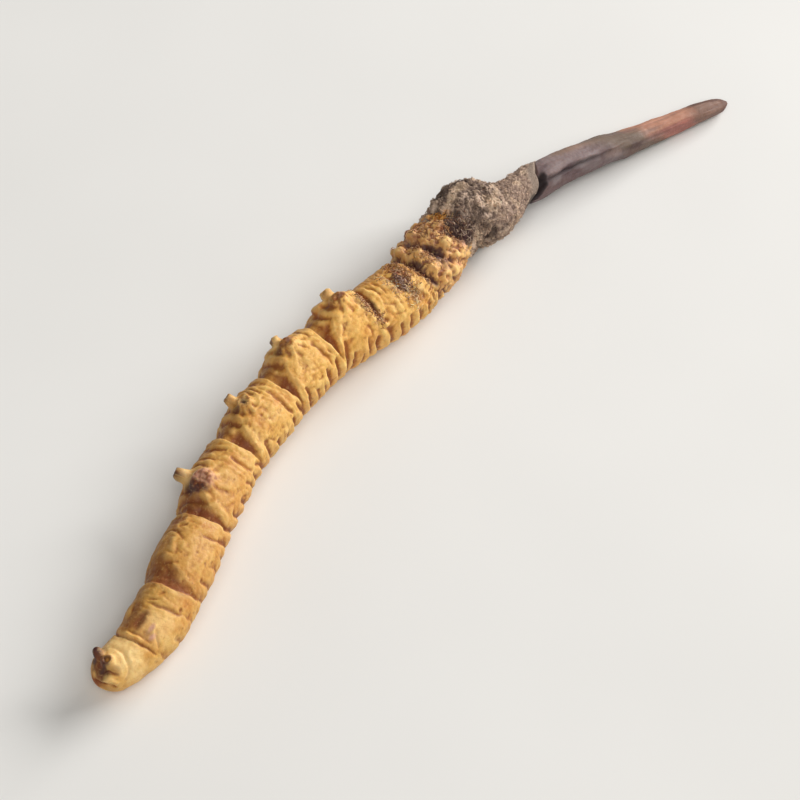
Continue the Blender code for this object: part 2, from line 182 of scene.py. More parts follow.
# Creases, pits and ridges drawn on the skin: height, half width on the tail's and the head's side, then places and angles
STROKES = (
    # Tail end: two lips under the claspers
    (-0.3, 0.1, 0.12, (0.3, -24), (0.7, -34), (1.25, -52)),
    (0.2, 0.14, 0.14, (0.2, -38), (0.55, -55), (0.95, -74)),
    (-0.3, 0.08, 0.08, (0.02, 0), (0.1, -60), (0.42, -76), (0.75, -92)),
    (-0.08, 0.1, 0.12, (1.45, 16), (1.36, -5), (1.5, -30)),
    # Last segment: a curved crease with a pale swelling after it
    (-0.14, 0.08, 0.14, (1.9, 24), (2.06, 4), (2.16, -14), (2.02, -34), (1.85, -52), (1.4, -76)),
    (0.06, 0.2, 0.2, (2.45, -16), (2.35, -46)),
    (-0.22, 0.07, 0.1, (3.1, 34), (3.3, 8), (3.5, -24), (3.7, -50), (3.95, -76)),
    (0.1, 0.09, 0.09, (3.5, 24), (3.62, -2), (3.72, -22)),
    (-0.08, 0.07, 0.1, (3.75, 20), (3.88, -8), (3.95, -40)),
    (-0.1, 0.2, 0.24, (4.2, 10), (4.8, 11), (5.5, 7)),
    (0.14, 0.6, 0.6, (5.2, 76), (5.4, 58), (5.5, 44)),
    (0.05, 0.2, 0.2, (4.2, 2), (5.2, 0)),
    (0.08, 0.16, 0.2, (4.15, -38), (4.45, -29), (5.1, -20)),
    (-0.08, 0.07, 0.1, (4.9, -24), (4.4, -40), (4.2, -60)),
    (-0.13, 0.1, 0.2, (6.25, 20), (6.15, 0), (6.2, -22), (6.35, -42), (6.65, -60)),
    (-0.08, 0.07, 0.12, (6.4, 26), (6.5, 8), (6.7, -6)),
    (-0.1, 0.12, 0.16, (6.55, -46), (6.85, -48)),
    (-0.05, 0.12, 0.12, (6.9, 8), (7.3, -6)),
    (-0.08, 0.08, 0.14, (9.35, 24), (9.5, 8), (9.65, -6)),
    (0.08, 0.3, 0.26, (9.4, 18), (9.75, 20), (10.2, 18)),
    (0.1, 0.3, 0.24, (10.3, 14), (10.9, 16), (11.4, 24)),
    (0.08, 0.28, 0.22, (10.6, -2), (11.0, 0), (11.4, 6)),
    (-0.05, 0.12, 0.14, (10.1, 5), (10.6, 8), (11.1, 12)),
    (-0.06, 0.2, 0.2, (8.4, 6), (9.0, 9), (9.3, 12)),
    (-0.06, 0.1, 0.1, (10.7, -28), (11.0, -27)),
    (-0.08, 0.1, 0.12, (9.2, -60), (9.5, -60)),
    (-0.06, 0.08, 0.1, (10.9, -60), (11.2, -66)),
    (-0.06, 0.1, 0.14, (8.4, -24), (8.9, -30), (9.2, -28)),
    (0.06, 0.14, 0.14, (9.4, -32), (10.4, -42), (11.6, -50)),
    (-0.13, 0.08, 0.18, (12.05, 40), (11.9, 24), (11.5, 4)),
    (-0.13, 0.08, 0.16, (12.2, -24), (12.45, -44), (12.8, -66)),
    (0.06, 0.14, 0.14, (12.7, 16), (13.4, 18)),
    (-0.1, 0.12, 0.16, (12.5, 26), (12.7, 10)),
    # Folds and pits on the slopes below the prolegs
    (0.08, 0.18, 0.18, (14.6, 38), (14.5, 6), (14.7, -10), (15.0, -20)),
    (-0.08, 0.14, 0.16, (14.9, 34), (14.95, 6), (15.1, -8)),
    (0.06, 0.14, 0.14, (15.25, 30), (15.15, 2), (15.4, -12)),
    (-0.3, 0.22, 0.24, (15.7, 50), (15.65, 30), (15.68, 14), (15.9, 2)),
    (0.08, 0.2, 0.18, (21.4, 40), (21.35, 14), (21.6, -2), (21.55, -18)),
    (-0.12, 0.14, 0.18, (21.8, 40), (21.8, 12), (22.0, -5)),
    (0.05, 0.2, 0.2, (22.2, 40), (22.2, 12), (22.45, -4), (22.4, -16)),
    (-0.16, 0.24, 0.22, (22.65, 48), (22.6, 26), (22.7, 8), (23.0, 0)),
    (0.08, 0.2, 0.18, (27.0, 40), (27.0, 12), (27.3, -6), (27.2, -20)),
    (-0.12, 0.14, 0.18, (27.45, 40), (27.5, 12), (27.8, -8)),
    (0.05, 0.2, 0.2, (27.85, 40), (27.95, 14), (28.25, -4)),
    (-0.14, 0.24, 0.22, (28.35, 48), (28.35, 28), (28.5, 14), (28.75, 4)),
    (0.08, 0.2, 0.18, (32.2, 40), (32.25, 14), (32.6, 2), (32.75, -8)),
    (-0.14, 0.14, 0.18, (32.6, 40), (32.65, 20), (32.9, 4)),
    (0.05, 0.2, 0.2, (32.95, 40), (33.05, 16), (33.35, -2)),
    (-0.14, 0.24, 0.22, (33.5, 48), (33.5, 24), (33.65, 8), (33.9, -2)),
    # Ridges from the prolegs down to the hollows' lower ends
    (0.07, 0.2, 0.24, (15.6, -8), (15.0, -24), (14.75, -42), (14.6, -62)),
    (0.05, 0.26, 0.26, (22.5, -10), (21.9, -20), (21.4, -34), (21.15, -60), (21.1, -78)),
    (0.05, 0.26, 0.26, (28.3, -8), (27.8, -18), (27.35, -34), (27.1, -58), (27.05, -80)),
    (0.06, 0.22, 0.24, (33.4, -6), (32.8, -16), (32.3, -32), (32.0, -54), (31.85, -78)),
    (0.08, 0.14, 0.14, (31.9, -60), (31.75, -48), (32.1, -30)),
    # Creases on the domes
    (0.07, 0.12, 0.12, (23.0, -2), (23.7, -3), (24.3, 5), (24.6, 18)),
    (-0.07, 0.07, 0.09, (23.05, -18), (23.3, -16)),
    (-0.06, 0.07, 0.09, (23.3, -33), (23.6, -32)),
    (-0.06, 0.07, 0.09, (23.55, -63), (23.9, -68)),
    (-0.08, 0.1, 0.14, (21.7, -48), (21.95, -56), (22.3, -58)),
    (-0.08, 0.08, 0.12, (22.15, -48), (22.4, -62), (22.7, -70)),
    (0.06, 0.1, 0.1, (21.9, -44), (22.3, -50)),
    (-0.06, 0.08, 0.1, (16.15, -30), (16.4, -34)),
    (-0.06, 0.08, 0.12, (16.5, -52), (17.0, -54), (17.4, -62)),
    (-0.08, 0.07, 0.1, (17.0, -72), (17.4, -80), (17.7, -88)),
    (-0.05, 0.08, 0.1, (15.1, -38), (15.5, -50), (16.0, -58)),
    (-0.1, 0.07, 0.12, (17.75, 40), (17.65, 22), (17.4, 6)),
    (-0.12, 0.07, 0.14, (18.35, 40), (18.35, 24), (18.2, 10)),
    (0.06, 0.1, 0.1, (18.0, 34), (17.95, 14), (17.7, 2)),
    (-0.18, 0.1, 0.28, (18.95, -10), (18.9, -28), (19.0, -44), (19.2, -64)),
    (-0.14, 0.2, 0.26, (19.2, 40), (19.35, 20), (19.5, 2)),
    (-0.1, 0.07, 0.12, (24.45, 40), (24.35, 24), (24.1, 10)),
    (-0.12, 0.07, 0.12, (24.85, 40), (24.8, 22), (24.6, 8)),
    (0.07, 0.09, 0.09, (24.65, 36), (24.55, 20), (24.3, 8)),
    (-0.18, 0.08, 0.22, (25.05, 4), (25.0, -18), (25.05, -44), (25.2, -72)),
    (-0.14, 0.2, 0.26, (25.4, 40), (25.55, 12)),
    (-0.06, 0.08, 0.1, (25.45, -16), (25.6, -26)),
    (-0.07, 0.08, 0.1, (25.85, -5), (25.9, -30)),
    (-0.09, 0.06, 0.1, (29.65, 40), (29.5, 22), (29.25, 8)),
    (-0.09, 0.06, 0.1, (30.0, 40), (29.9, 22), (29.75, 6)),
    (-0.07, 0.06, 0.1, (29.3, 10), (29.75, -2), (30.0, -8)),
    (0.06, 0.08, 0.08, (29.8, 34), (29.7, 16), (29.45, 4)),
    (0.06, 0.08, 0.08, (30.1, 30), (30.05, 10), (29.9, -8)),
    (-0.18, 0.1, 0.26, (30.4, 0), (30.4, -18), (30.5, -44), (30.6, -64)),
    (-0.1, 0.1, 0.14, (30.65, 36), (30.7, 18), (30.65, 4)),
    (-0.06, 0.1, 0.14, (30.9, -30), (31.0, -50)),
    (-0.08, 0.08, 0.1, (28.6, -58), (29.0, -62), (29.3, -58)),
    (-0.08, 0.08, 0.12, (27.9, -58), (28.25, -72), (28.6, -86)),
    (-0.06, 0.08, 0.1, (28.4, -26), (28.8, -26)),
    (0.05, 0.12, 0.12, (28.0, -34), (28.8, -44), (29.6, -48)),
    (0.08, 0.12, 0.12, (27.6, -62), (27.9, -74), (27.9, -84)),
    (0.1, 0.14, 0.14, (32.4, -64), (32.55, -74), (32.5, -84)),
    (-0.08, 0.08, 0.12, (32.45, -32), (32.9, -24), (33.2, -14)),
    (-0.07, 0.08, 0.1, (33.2, -22), (33.5, -16)),
    (-0.05, 0.07, 0.09, (33.9, -54), (34.1, -58)),
    (-0.06, 0.07, 0.09, (33.5, -78), (33.7, -82)),
    (-0.1, 0.08, 0.12, (34.8, -40), (34.9, -52), (34.85, -64)),
    (-0.06, 0.06, 0.08, (34.3, -8), (34.5, -10)),
    (-0.07, 0.06, 0.08, (34.7, 18), (34.85, 2), (34.8, -10)),
    (-0.07, 0.06, 0.08, (35.1, 22), (35.25, 4), (35.15, -12)),
    # Slit of the first ring behind the prolegs, with torn fibrous edges
    (0.08, 0.16, 0.14, (35.4, 26), (35.45, 0), (35.4, -24), (35.6, -42)),
    (-0.42, 0.12, 0.18, (35.9, 34), (35.95, 0), (35.9, -28), (36.1, -44)),
    (-0.3, 0.2, 0.26, (35.95, 92), (35.95, 60), (35.9, 30)),
    (-0.22, 0.1, 0.12, (36.2, -46), (36.4, -56)),
    (0.1, 0.14, 0.14, (36.1, -54), (36.4, -64)),
    (-0.1, 0.08, 0.12, (36.6, 26), (36.9, 4), (37.0, -14)),
    (0.06, 0.1, 0.1, (36.4, 22), (36.6, -2), (36.7, -20)),
    (-0.08, 0.07, 0.1, (37.15, 24), (37.4, 4), (37.45, -16)),
    (-0.06, 0.07, 0.1, (36.7, -24), (37.3, -34), (37.9, -40)),
    (-0.06, 0.07, 0.1, (36.8, -48), (37.4, -54), (37.9, -58)),
    # Thorax: two deep dark gaps between heaped folds
    (-0.16, 0.14, 0.2, (38.5, 22), (38.4, -4), (38.5, -24), (38.8, -34)),
    (-0.12, 0.1, 0.14, (39.4, 14), (39.4, -12), (39.5, -24)),
    (0.1, 0.16, 0.16, (38.9, 10), (38.9, -16)),
    (0.14, 0.18, 0.18, (39.3, -32), (39.7, -46)),
    (-0.14, 0.12, 0.14, (39.4, -58), (39.7, -60)),
    (-0.85, 0.26, 0.34, (40.6, 36), (40.75, 8), (40.8, -18), (40.85, -36), (41.1, -62)),
    (-0.3, 0.2, 0.3, (41.0, 12), (41.1, -6), (41.05, -20)),
    (0.14, 0.16, 0.16, (41.2, 44), (41.1, 26), (41.25, 12)),
    (-0.14, 0.08, 0.1, (40.9, 14), (41.35, 20), (42.0, 26)),
    (0.14, 0.14, 0.14, (41.7, 40), (41.8, 30), (41.9, 14)),
    (-0.12, 0.08, 0.08, (41.2, -14), (41.5, -16), (41.9, -14)),
    (0.34, 0.32, 0.32, (41.5, -26), (41.7, -48)),
    (-0.8, 0.26, 0.34, (42.55, 40), (42.75, 10), (42.8, -20), (43.0, -38)),
    (-0.26, 0.1, 0.14, (42.7, -44), (43.1, -50), (43.6, -60)),
    (0.16, 0.16, 0.16, (43.4, 44), (43.6, 26), (43.8, 10)),
    (-0.14, 0.08, 0.08, (43.3, 20), (43.9, 14), (44.4, 20)),
    (0.12, 0.16, 0.16, (44.0, 40), (44.3, 28), (44.7, 20)),
    (-0.2, 0.1, 0.12, (43.5, -64), (44.1, -74), (44.8, -84)),
    (-0.75, 0.28, 0.34, (44.6, -6), (45.1, -28), (45.6, -44), (46.0, -58)),
    (-0.3, 0.2, 0.3, (44.8, 50), (45.1, 34), (45.6, 20)),
    (0.14, 0.18, 0.18, (44.6, 8), (45.2, 4), (46.0, -1)),
    (0.12, 0.16, 0.16, (44.3, -50), (44.8, -60), (45.4, -64)),
    (-0.14, 0.08, 0.1, (44.4, -60), (44.8, -72)),
)

# Profiles of things that stand on the skin: share of the foot's radius in the unmoved skin, radius there, height there
LEG_PROFILE = (
    (0.0, 0.0, 0.9),
    (0.12, 0.12, 0.97),
    (0.24, 0.26, 1.0),
    (0.34, 0.37, 0.93),
    (0.42, 0.43, 0.76),
    (0.5, 0.45, 0.5),
    (0.58, 0.47, 0.24),
    (0.68, 0.54, 0.06),
    (0.84, 0.76, 0.0),
    (1.0, 1.0, 0.0),
)
STUB_PROFILE = (
    (0.0, 0.0, 0.8),
    (0.14, 0.13, 0.86),
    (0.28, 0.27, 1.0),
    (0.4, 0.4, 0.96),
    (0.52, 0.51, 0.8),
    (0.64, 0.6, 0.56),
    (0.76, 0.69, 0.28),
    (0.88, 0.8, 0.08),
    (1.0, 1.0, 0.0),
)
KNOB_PROFILE = (
    (0.0, 0.0, 1.0),
    (0.2, 0.2, 0.97),
    (0.4, 0.4, 0.85),
    (0.55, 0.54, 0.66),
    (0.68, 0.64, 0.42),
    (0.8, 0.69, 0.18),
    (0.9, 0.75, 0.02),
    (1.0, 1.0, 0.0),
)
RING_PROFILE = (
    (0.0, 0.0, 0.3),
    (0.18, 0.16, 0.34),
    (0.32, 0.3, 0.8),
    (0.45, 0.42, 1.0),
    (0.6, 0.56, 0.85),
    (0.75, 0.66, 0.4),
    (0.88, 0.74, 0.06),
    (1.0, 1.0, 0.0),
)

# Prolegs: place, angle, foot radius, height, lean away from the belly's middle and lean to the tail, degrees, and profile
PROLEGS = (
    (16.4, 14.0, 1.45, 0.42, 0.0, 14.0, STUB_PROFILE),
    (16.9, 54.0, 1.1, 1.0, 18.0, 4.0, LEG_PROFILE),
    (23.4, 19.0, 0.9, 0.32, 0.0, 6.0, RING_PROFILE),
    (23.5, 50.0, 0.9, 0.6, 14.0, 0.0, LEG_PROFILE),
    (29.25, 22.0, 1.15, 0.38, 0.0, 8.0, STUB_PROFILE),
    (29.3, 51.0, 0.92, 0.6, 12.0, 0.0, LEG_PROFILE),
    (34.35, 19.0, 1.2, 0.42, 0.0, 8.0, STUB_PROFILE),
    (34.3, 48.0, 1.0, 0.62, 12.0, 0.0, LEG_PROFILE),
)

# Waxy knobs where the true legs were, and small lumps: place, angle, foot radius, height, profile
KNOBS = (
    (41.5, 38.0, 0.7, 0.36, KNOB_PROFILE),
    (41.8, 4.0, 0.5, 0.42, KNOB_PROFILE),
    (41.95, -63.0, 0.8, 0.34, RING_PROFILE),
    (42.95, -69.0, 0.75, 0.34, KNOB_PROFILE),
    (43.6, 40.0, 0.7, 0.34, KNOB_PROFILE),
    (43.85, -26.0, 0.78, 0.46, KNOB_PROFILE),
    (43.8, -53.0, 0.5, 0.22, KNOB_PROFILE),
    (44.4, -64.0, 0.6, 0.26, KNOB_PROFILE),
    (44.9, -78.0, 0.6, 0.26, KNOB_PROFILE),
    (44.05, 8.0, 0.45, 0.22, KNOB_PROFILE),
    (45.0, 6.0, 0.6, 0.2, KNOB_PROFILE),
    (43.6, -84.0, 0.6, 0.24, KNOB_PROFILE),
    (39.65, -42.0, 0.6, 0.2, KNOB_PROFILE),
    (28.5, 54.0, 0.95, 0.2, KNOB_PROFILE),
    (33.4, 52.0, 0.95, 0.22, KNOB_PROFILE),
)

# The claspers at the tail end
CLASPERS = (
    (1.15, -4.0, 0.7, 0.44, RING_PROFILE),
    (1.15, 33.0, 0.56, 0.66, KNOB_PROFILE),
)

# Colour of the skin, sRGB. SKIN_CREASE is also the colour of the painted shade in the folds and hollows and on the far
# flank
SKIN_LIGHT = (232, 180, 92)
SKIN_DEEP = (216, 150, 66)
SKIN_CREASE = (152, 82, 28)
SKIN_OCHRE = (190, 124, 34)
SKIN_PALE = (250, 212, 136)
SKIN_CREAM = (255, 218, 148)
SKIN_PINK = (222, 170, 146)
SKIN_BROWN = (130, 68, 28)
SKIN_BARK = (72, 34, 30)

# How light the skin is along the body
SKIN_TONE = (
    (0.0, 1.05),
    (3.0, 1.04),
    (5.0, 0.92),
    (8.5, 0.84),
    (12.0, 0.85),
    (16.5, 0.88),
    (23.0, 0.94),
    (28.5, 1.0),
    (33.5, 1.1),
    (37.0, 1.05),
    (47.0, 1.0),
)

# Spots of colour on the skin: colour, place, angle, half length, half width round the body in mm, amount. Some of them
# are painted shade and some painted light, as marked below
SPOTS = (
    (SKIN_CREAM, 2.3, -20, 1.2, 2.6, 1.0),
    (SKIN_CREAM, 2.35, -32, 0.45, 0.7, 0.9),
    (SKIN_CREAM, 5.1, -26, 1.2, 1.7, 0.55),
    (SKIN_BARK, 0.6, -6, 0.5, 0.6, 0.95),
    (SKIN_BARK, 1.0, 34, 0.75, 0.6, 1.0),
    (SKIN_BROWN, 0.7, 12, 0.5, 0.4, 0.8),
    (SKIN_BARK, 0.5, -30, 0.32, 0.4, 0.9),
    (SKIN_BROWN, 1.0, -34, 0.6, 0.4, 0.4),
    (SKIN_BARK, 1.15, -4, 0.46, 0.44, 0.9),
    (SKIN_DEEP, 1.15, -4, 0.2, 0.18, 0.7),
    (SKIN_BROWN, 0.1, -40, 0.3, 0.9, 0.75),
    (SKIN_PALE, 0.62, -58, 0.32, 0.55, 0.8),
    (SKIN_BROWN, 0.5, -98, 0.5, 0.6, 0.4),
    (SKIN_BROWN, 4.8, 10, 1.0, 0.5, 0.85),
    (SKIN_BROWN, 4.5, 28, 1.1, 0.6, 0.7),
    (SKIN_BROWN, 5.7, 34, 0.6, 0.6, 0.6),
    # On the ridge from 4.15 to 5.1: a brown spot of painted shade beside it, and two pink spots of painted highlight on
    # it.
    (SKIN_BROWN, 4.3, -18, 0.3, 0.3, 0.5),
    (SKIN_PINK, 4.35, -32, 0.34, 0.22, 0.9),
    (SKIN_PINK, 4.8, -19, 0.34, 0.2, 0.9),
    # The brown spots from here to 15.1 lie in the hollows at 7.9 and 13.8 and in the creases beside them: painted
    # shade.
    (SKIN_BROWN, 8.5, 14, 0.9, 1.2, 0.8),
    (SKIN_BROWN, 9.3, 36, 0.9, 0.8, 0.6),
    (SKIN_BROWN, 13.1, 38, 0.5, 0.7, 0.6),
    (SKIN_BROWN, 12.1, 20, 0.3, 0.6, 0.4),
    (SKIN_BROWN, 7.9, -30, 0.3, 0.8, 0.4),
    (SKIN_BROWN, 14.3, 14, 0.85, 1.3, 0.8),
    (SKIN_BROWN, 15.1, 34, 0.8, 0.9, 0.75),
    (SKIN_PINK, 16.5, 16, 1.1, 1.1, 0.85),
    # The four dark spots that follow lie in the pit on the tail's side of the first near proleg: painted shade.
    (SKIN_BARK, 15.8, 18, 0.45, 0.9, 0.95),
    (SKIN_BARK, 15.95, 38, 0.6, 0.6, 0.9),
    (SKIN_BARK, 16.2, 24, 0.3, 0.3, 0.7),
    (SKIN_BARK, 16.0, 6, 0.24, 0.3, 0.7),
    (SKIN_BROWN, 16.9, 18, 0.24, 0.3, 0.6),
    (SKIN_BROWN, 16.6, -2, 0.3, 0.2, 0.5),
    (SKIN_CREAM, 16.9, 54, 0.9, 0.9, 0.8),
    (SKIN_BARK, 16.9, 54, 0.5, 0.5, 1.0),
    (SKIN_CREAM, 23.4, 19, 0.55, 0.5, 0.7),
    (SKIN_BARK, 23.4, 19, 0.28, 0.26, 0.9),
    (SKIN_CREAM, 23.5, 50, 0.7, 0.7, 0.6),
    (SKIN_BARK, 23.5, 50, 0.34, 0.34, 0.8),
    (SKIN_BROWN, 29.2, 22, 0.55, 0.5, 0.8),
    # Pink here and at 34.6, on the head's side of the near prolegs: their own pinkish colour with a painted highlight.
    (SKIN_PINK, 29.5, 22, 0.3, 0.3, 0.6),
    (SKIN_CREAM, 29.3, 51, 0.7, 0.7, 0.7),
    (SKIN_BARK, 29.2, 53, 0.34, 0.4, 0.8),
    (SKIN_BROWN, 34.3, 19, 0.6, 0.5, 0.85),
    (SKIN_PINK, 34.6, 19, 0.3, 0.3, 0.6),
    (SKIN_CREAM, 34.3, 48, 0.7, 0.7, 0.7),
    (SKIN_BARK, 34.45, 50, 0.3, 0.3, 0.8),
    # The brown and dark spots from here to 33.4 lie in the hollows and in the pits on the tail's side of the near
    # prolegs: painted shade. Only the brown patch at 21.9, -55 is the skin's own stain.
    (SKIN_BROWN, 20.65, -14, 0.5, 0.8, 0.4),
    (SKIN_BROWN, 21.2, 34, 0.7, 0.6, 0.6),
    (SKIN_BROWN, 21.9, 26, 0.6, 0.4, 0.4),
    (SKIN_BARK, 22.75, 28, 0.32, 0.42, 0.7),
    (SKIN_BROWN, 21.9, -55, 0.3, 0.3, 0.3),
    (SKIN_BROWN, 26.5, -18, 0.48, 0.9, 0.4),
    (SKIN_BROWN, 26.9, 34, 0.7, 0.6, 0.6),
    (SKIN_BROWN, 27.5, 22, 0.6, 0.4, 0.4),
    (SKIN_BARK, 28.4, 28, 0.32, 0.42, 0.7),
    (SKIN_BROWN, 31.65, -12, 0.42, 0.8, 0.4),
    (SKIN_BROWN, 32.0, 32, 0.6, 0.6, 0.5),
    (SKIN_BROWN, 33.4, 22, 0.36, 0.5, 0.8),
    # The bark-dark spots from here to 45.9 lie in the slit behind the prolegs and in the deep gaps of the thorax:
    # painted shade together with the dark mud in those gaps.
    (SKIN_BARK, 36.0, -16, 0.24, 0.9, 0.8),
    (SKIN_CREAM, 35.3, -8, 0.25, 0.9, 0.6),
    (SKIN_BROWN, 39.4, -56, 0.6, 0.5, 0.5),
    (SKIN_BARK, 39.0, -16, 0.45, 0.5, 0.9),
    (SKIN_BROWN, 39.5, 2, 0.6, 1.0, 0.7),
    (SKIN_CREAM, 38.0, -2, 0.3, 0.8, 0.5),
    (SKIN_BROWN, 39.0, -45, 0.3, 0.6, 0.5),
    (SKIN_BARK, 40.6, -10, 0.42, 1.2, 1.0),
    (SKIN_BARK, 40.7, -36, 0.3, 0.8, 0.95),
    (SKIN_BARK, 41.0, -58, 0.25, 0.5, 0.8),
    (SKIN_BARK, 41.0, -6, 0.4, 0.9, 0.9),
    (SKIN_BARK, 42.7, -20, 0.5, 1.5, 1.0),
    (SKIN_BARK, 45.1, -28, 0.6, 1.0, 1.0),
    (SKIN_BARK, 45.8, -50, 0.6, 1.0, 0.95),
    (SKIN_BARK, 45.9, -34, 0.8, 1.4, 0.95),
    (SKIN_PINK, 45.25, -54, 0.35, 0.4, 0.7),
    (SKIN_BROWN, 43.0, 24, 0.5, 0.7, 0.4),
    (SKIN_BROWN, 41.0, 26, 0.5, 0.6, 0.35),
    # The light spots from here to 31.65 lighten the shade in the hollows: painted light.
    (SKIN_LIGHT, 20.45, 22, 0.5, 0.6, 0.45),
    (SKIN_LIGHT, 20.6, -62, 0.4, 0.4, 0.4),
    (SKIN_LIGHT, 26.35, 21, 0.5, 0.6, 0.5),
    (SKIN_LIGHT, 26.5, 2, 0.4, 0.4, 0.3),
    (SKIN_LIGHT, 31.6, 21, 0.45, 0.6, 0.5),
    (SKIN_LIGHT, 31.65, 2, 0.4, 0.45, 0.35),
    (SKIN_LIGHT, 31.65, -60, 0.4, 0.4, 0.4),
    (SKIN_OCHRE, 19.05, -44, 0.3, 0.6, 0.6),
    (SKIN_OCHRE, 25.1, -34, 0.3, 0.8, 0.4),
    (SKIN_OCHRE, 30.5, -38, 0.3, 0.7, 0.6),
)


def linear(srgb):
    """An sRGB colour in 0 to 255 as linear light."""
    share = np.asarray(srgb, float) / 255.0
    return np.where(share <= 0.04045, share / 12.92, ((share + 0.055) / 1.055) ** 2.4)


def smooth_step(low, high, value):
    share = np.clip((value - low) / (high - low), 0.0, 1.0)
    return share * share * (3.0 - 2.0 * share)


def unit(vectors):
    return vectors / np.linalg.norm(vectors, axis=-1, keepdims=True)


def curve_through(points, steps):
    """Points along a smooth curve through the given ones."""
    knots = np.array(points, float)
    knots = np.vstack((2 * knots[0] - knots[1], knots, 2 * knots[-1] - knots[-2]))
    share = (np.arange(steps) / steps)[:, None]
    spans = []
    for before, start, end, after in zip(knots, knots[1:], knots[2:], knots[3:]):
        bend = (2 * before - 5 * start + 4 * end - after) * share**2
        swing = (3 * start - before - 3 * end + after) * share**3
        spans.append(0.5 * (2 * start + (end - before) * share + bend + swing))
    return np.vstack((*spans, knots[-2:-1]))


class Route:
    """The middle line, asked for places by their length from the tail. It works on arrays."""

    def __init__(self, points):
        self.points = curve_through(points, ROUTE_STEPS)
        steps = np.linalg.norm(np.diff(self.points, axis=0), axis=1)
        self.lengths = np.concatenate(([0.0], np.cumsum(steps)))
        self.start = unit(self.points[1] - self.points[0])

    def at(self, place):
        """The points there. Before the tail the line runs on straight."""
        held = np.clip(place, 0.0, self.lengths[-1])
        found = [np.interp(held, self.lengths, self.points[:, axis]) for axis in range(3)]
        return np.stack(found, axis=-1) + np.minimum(place, 0.0)[..., None] * self.start

    def frame(self, place):
        """The points, and the directions along, up across and +Y-ward across the line."""
        place = np.asarray(place, float)
        reach = 0.4
        along = unit(self.at(place + reach) - self.at(place - reach))
        side = unit(np.cross((0.0, 0.0, 1.0), along))
        return self.at(place), along, np.cross(along, side), side

    def across(self, place, degrees):
        """The directions out of the line at those angles."""
        _, _, up, side = self.frame(place)
        angle = np.radians(degrees)[..., None]
        return up * np.cos(angle) + side * np.sin(angle)


ROUTE = Route(MIDDLE_LINE)


class Noise:
    """Smooth random fields in space, the same at every run."""

    def __init__(self, seed):
        source = np.random.RandomState(seed)
        self.directions = unit(source.normal(size=(256, 3)))
        self.order = source.permutation(256)

    def corner(self, cell):
        mixed = self.order[cell[..., 0] & 255]
        mixed = self.order[(mixed + cell[..., 1]) & 255]
        return self.order[(mixed + cell[..., 2]) & 255]

    def wave(self, points):
        """About -1 to 1, with bumps one unit across."""
        cell = np.floor(points).astype(int)
        part = points - cell
        fade = part**3 * (part * (part * 6 - 15) + 10)
        total = 0.0
        for corner in itertools.product((0, 1), repeat=3):
            weight = np.prod(np.where(corner, fade, 1 - fade), axis=-1)
            slope = self.directions[self.corner(cell + corner)]
            total = total + weight * np.sum(slope * (part - corner), axis=-1)
        return 1.5 * total

    def layers(self, points, octaves, gain=0.5):
        """Waves on waves, each half the size of the last."""
        total, share, whole = 0.0, 1.0, 0.0
        for octave in range(octaves):
            total = total + share * self.wave(points * 2.0**octave + 17.3 * octave)
            whole += share
            share *= gain
        return total / whole

    def ridges(self, points, octaves=2):
        """0 to 1, with sharp crests."""
        total, share, whole = 0.0, 1.0, 0.0
        for octave in range(octaves):
            total = total + share * (1.0 - np.abs(self.wave(points * 2.0**octave + 9.1 * octave)))
            whole += share
            share *= 0.5
        return total / whole

    def cells(self, points):
        """Distance to the nearest and the second nearest of scattered points, about one in each unit cell."""
        cell = np.floor(points).astype(int)
        nearest = np.full(points.shape[:-1], 9.0)
        second = np.full(points.shape[:-1], 9.0)
        for corner in itertools.product((-1, 0, 1), repeat=3):
            other = cell + corner
            seat = other + 0.5 + 0.45 * self.directions[self.corner(other)]
            away = np.linalg.norm(points - seat, axis=-1)
            second = np.minimum(second, np.maximum(nearest, away))
            nearest = np.minimum(nearest, away)
        return nearest, second


NOISE = Noise(11)
ROUGH = Noise(23)


def table_value(table, place, column=1):
    """A table's value at places, read along a smooth curve between its rows."""
    rows = np.array([(row[0], row[column]) for row in table], float)
    fine = curve_through(rows, 12)
    return np.interp(place, fine[:, 0], fine[:, 1])


def turn_between(degrees, centre):
    """The angle from centre, from -180 to 180."""
    return (degrees - centre + 180.0) % 360.0 - 180.0


def blurred(field, rows, columns):
    """A grid smoothed along the body and round it. It wraps round."""
    result = field
    for _ in range(2):
        padded = np.pad(result, ((rows, rows), (0, 0)), mode="edge")
        sums = np.cumsum(np.vstack((np.zeros((1, field.shape[1])), padded)), axis=0)
        result = (sums[2 * rows + 1 :] - sums[: -2 * rows - 1]) / (2 * rows + 1)
        padded = np.pad(result, ((0, 0), (columns, columns)), mode="wrap")
        sums = np.cumsum(np.hstack((np.zeros((field.shape[0], 1)), padded)), axis=1)
        result = (sums[:, 2 * columns + 1 :] - sums[:, : -2 * columns - 1]) / (2 * columns + 1)
    return result


def ring_angles(sides, centre, crowding):
    """Angles round the body, closer together near the centre angle."""
    turn = np.linspace(-math.pi, math.pi, sides, endpoint=False)
    return centre + np.degrees(turn - crowding * np.sin(turn))


def grid_normals(points):
    """Outward directions of a grid of points that wraps round in its second index."""
    lengthwise = np.gradient(points, axis=0)
    around = np.roll(points, -1, axis=1) - np.roll(points, 1, axis=1)
    return unit(np.cross(lengthwise, around))


def smooth_radius(place):
    """Radius of the larva at the crests of its rings, with its round tail end."""
    closing = np.clip(1.0 - place / TAIL_ROUNDING, 0.0, 1.0)
    return table_value(LARVA_RADII, place) * np.sqrt(1.0 - closing**2)


def on_body(place, degrees):
    """The points of the smooth body at those places and angles."""
    return ROUTE.at(place) + ROUTE.across(place, degrees) * smooth_radius(place)[..., None]


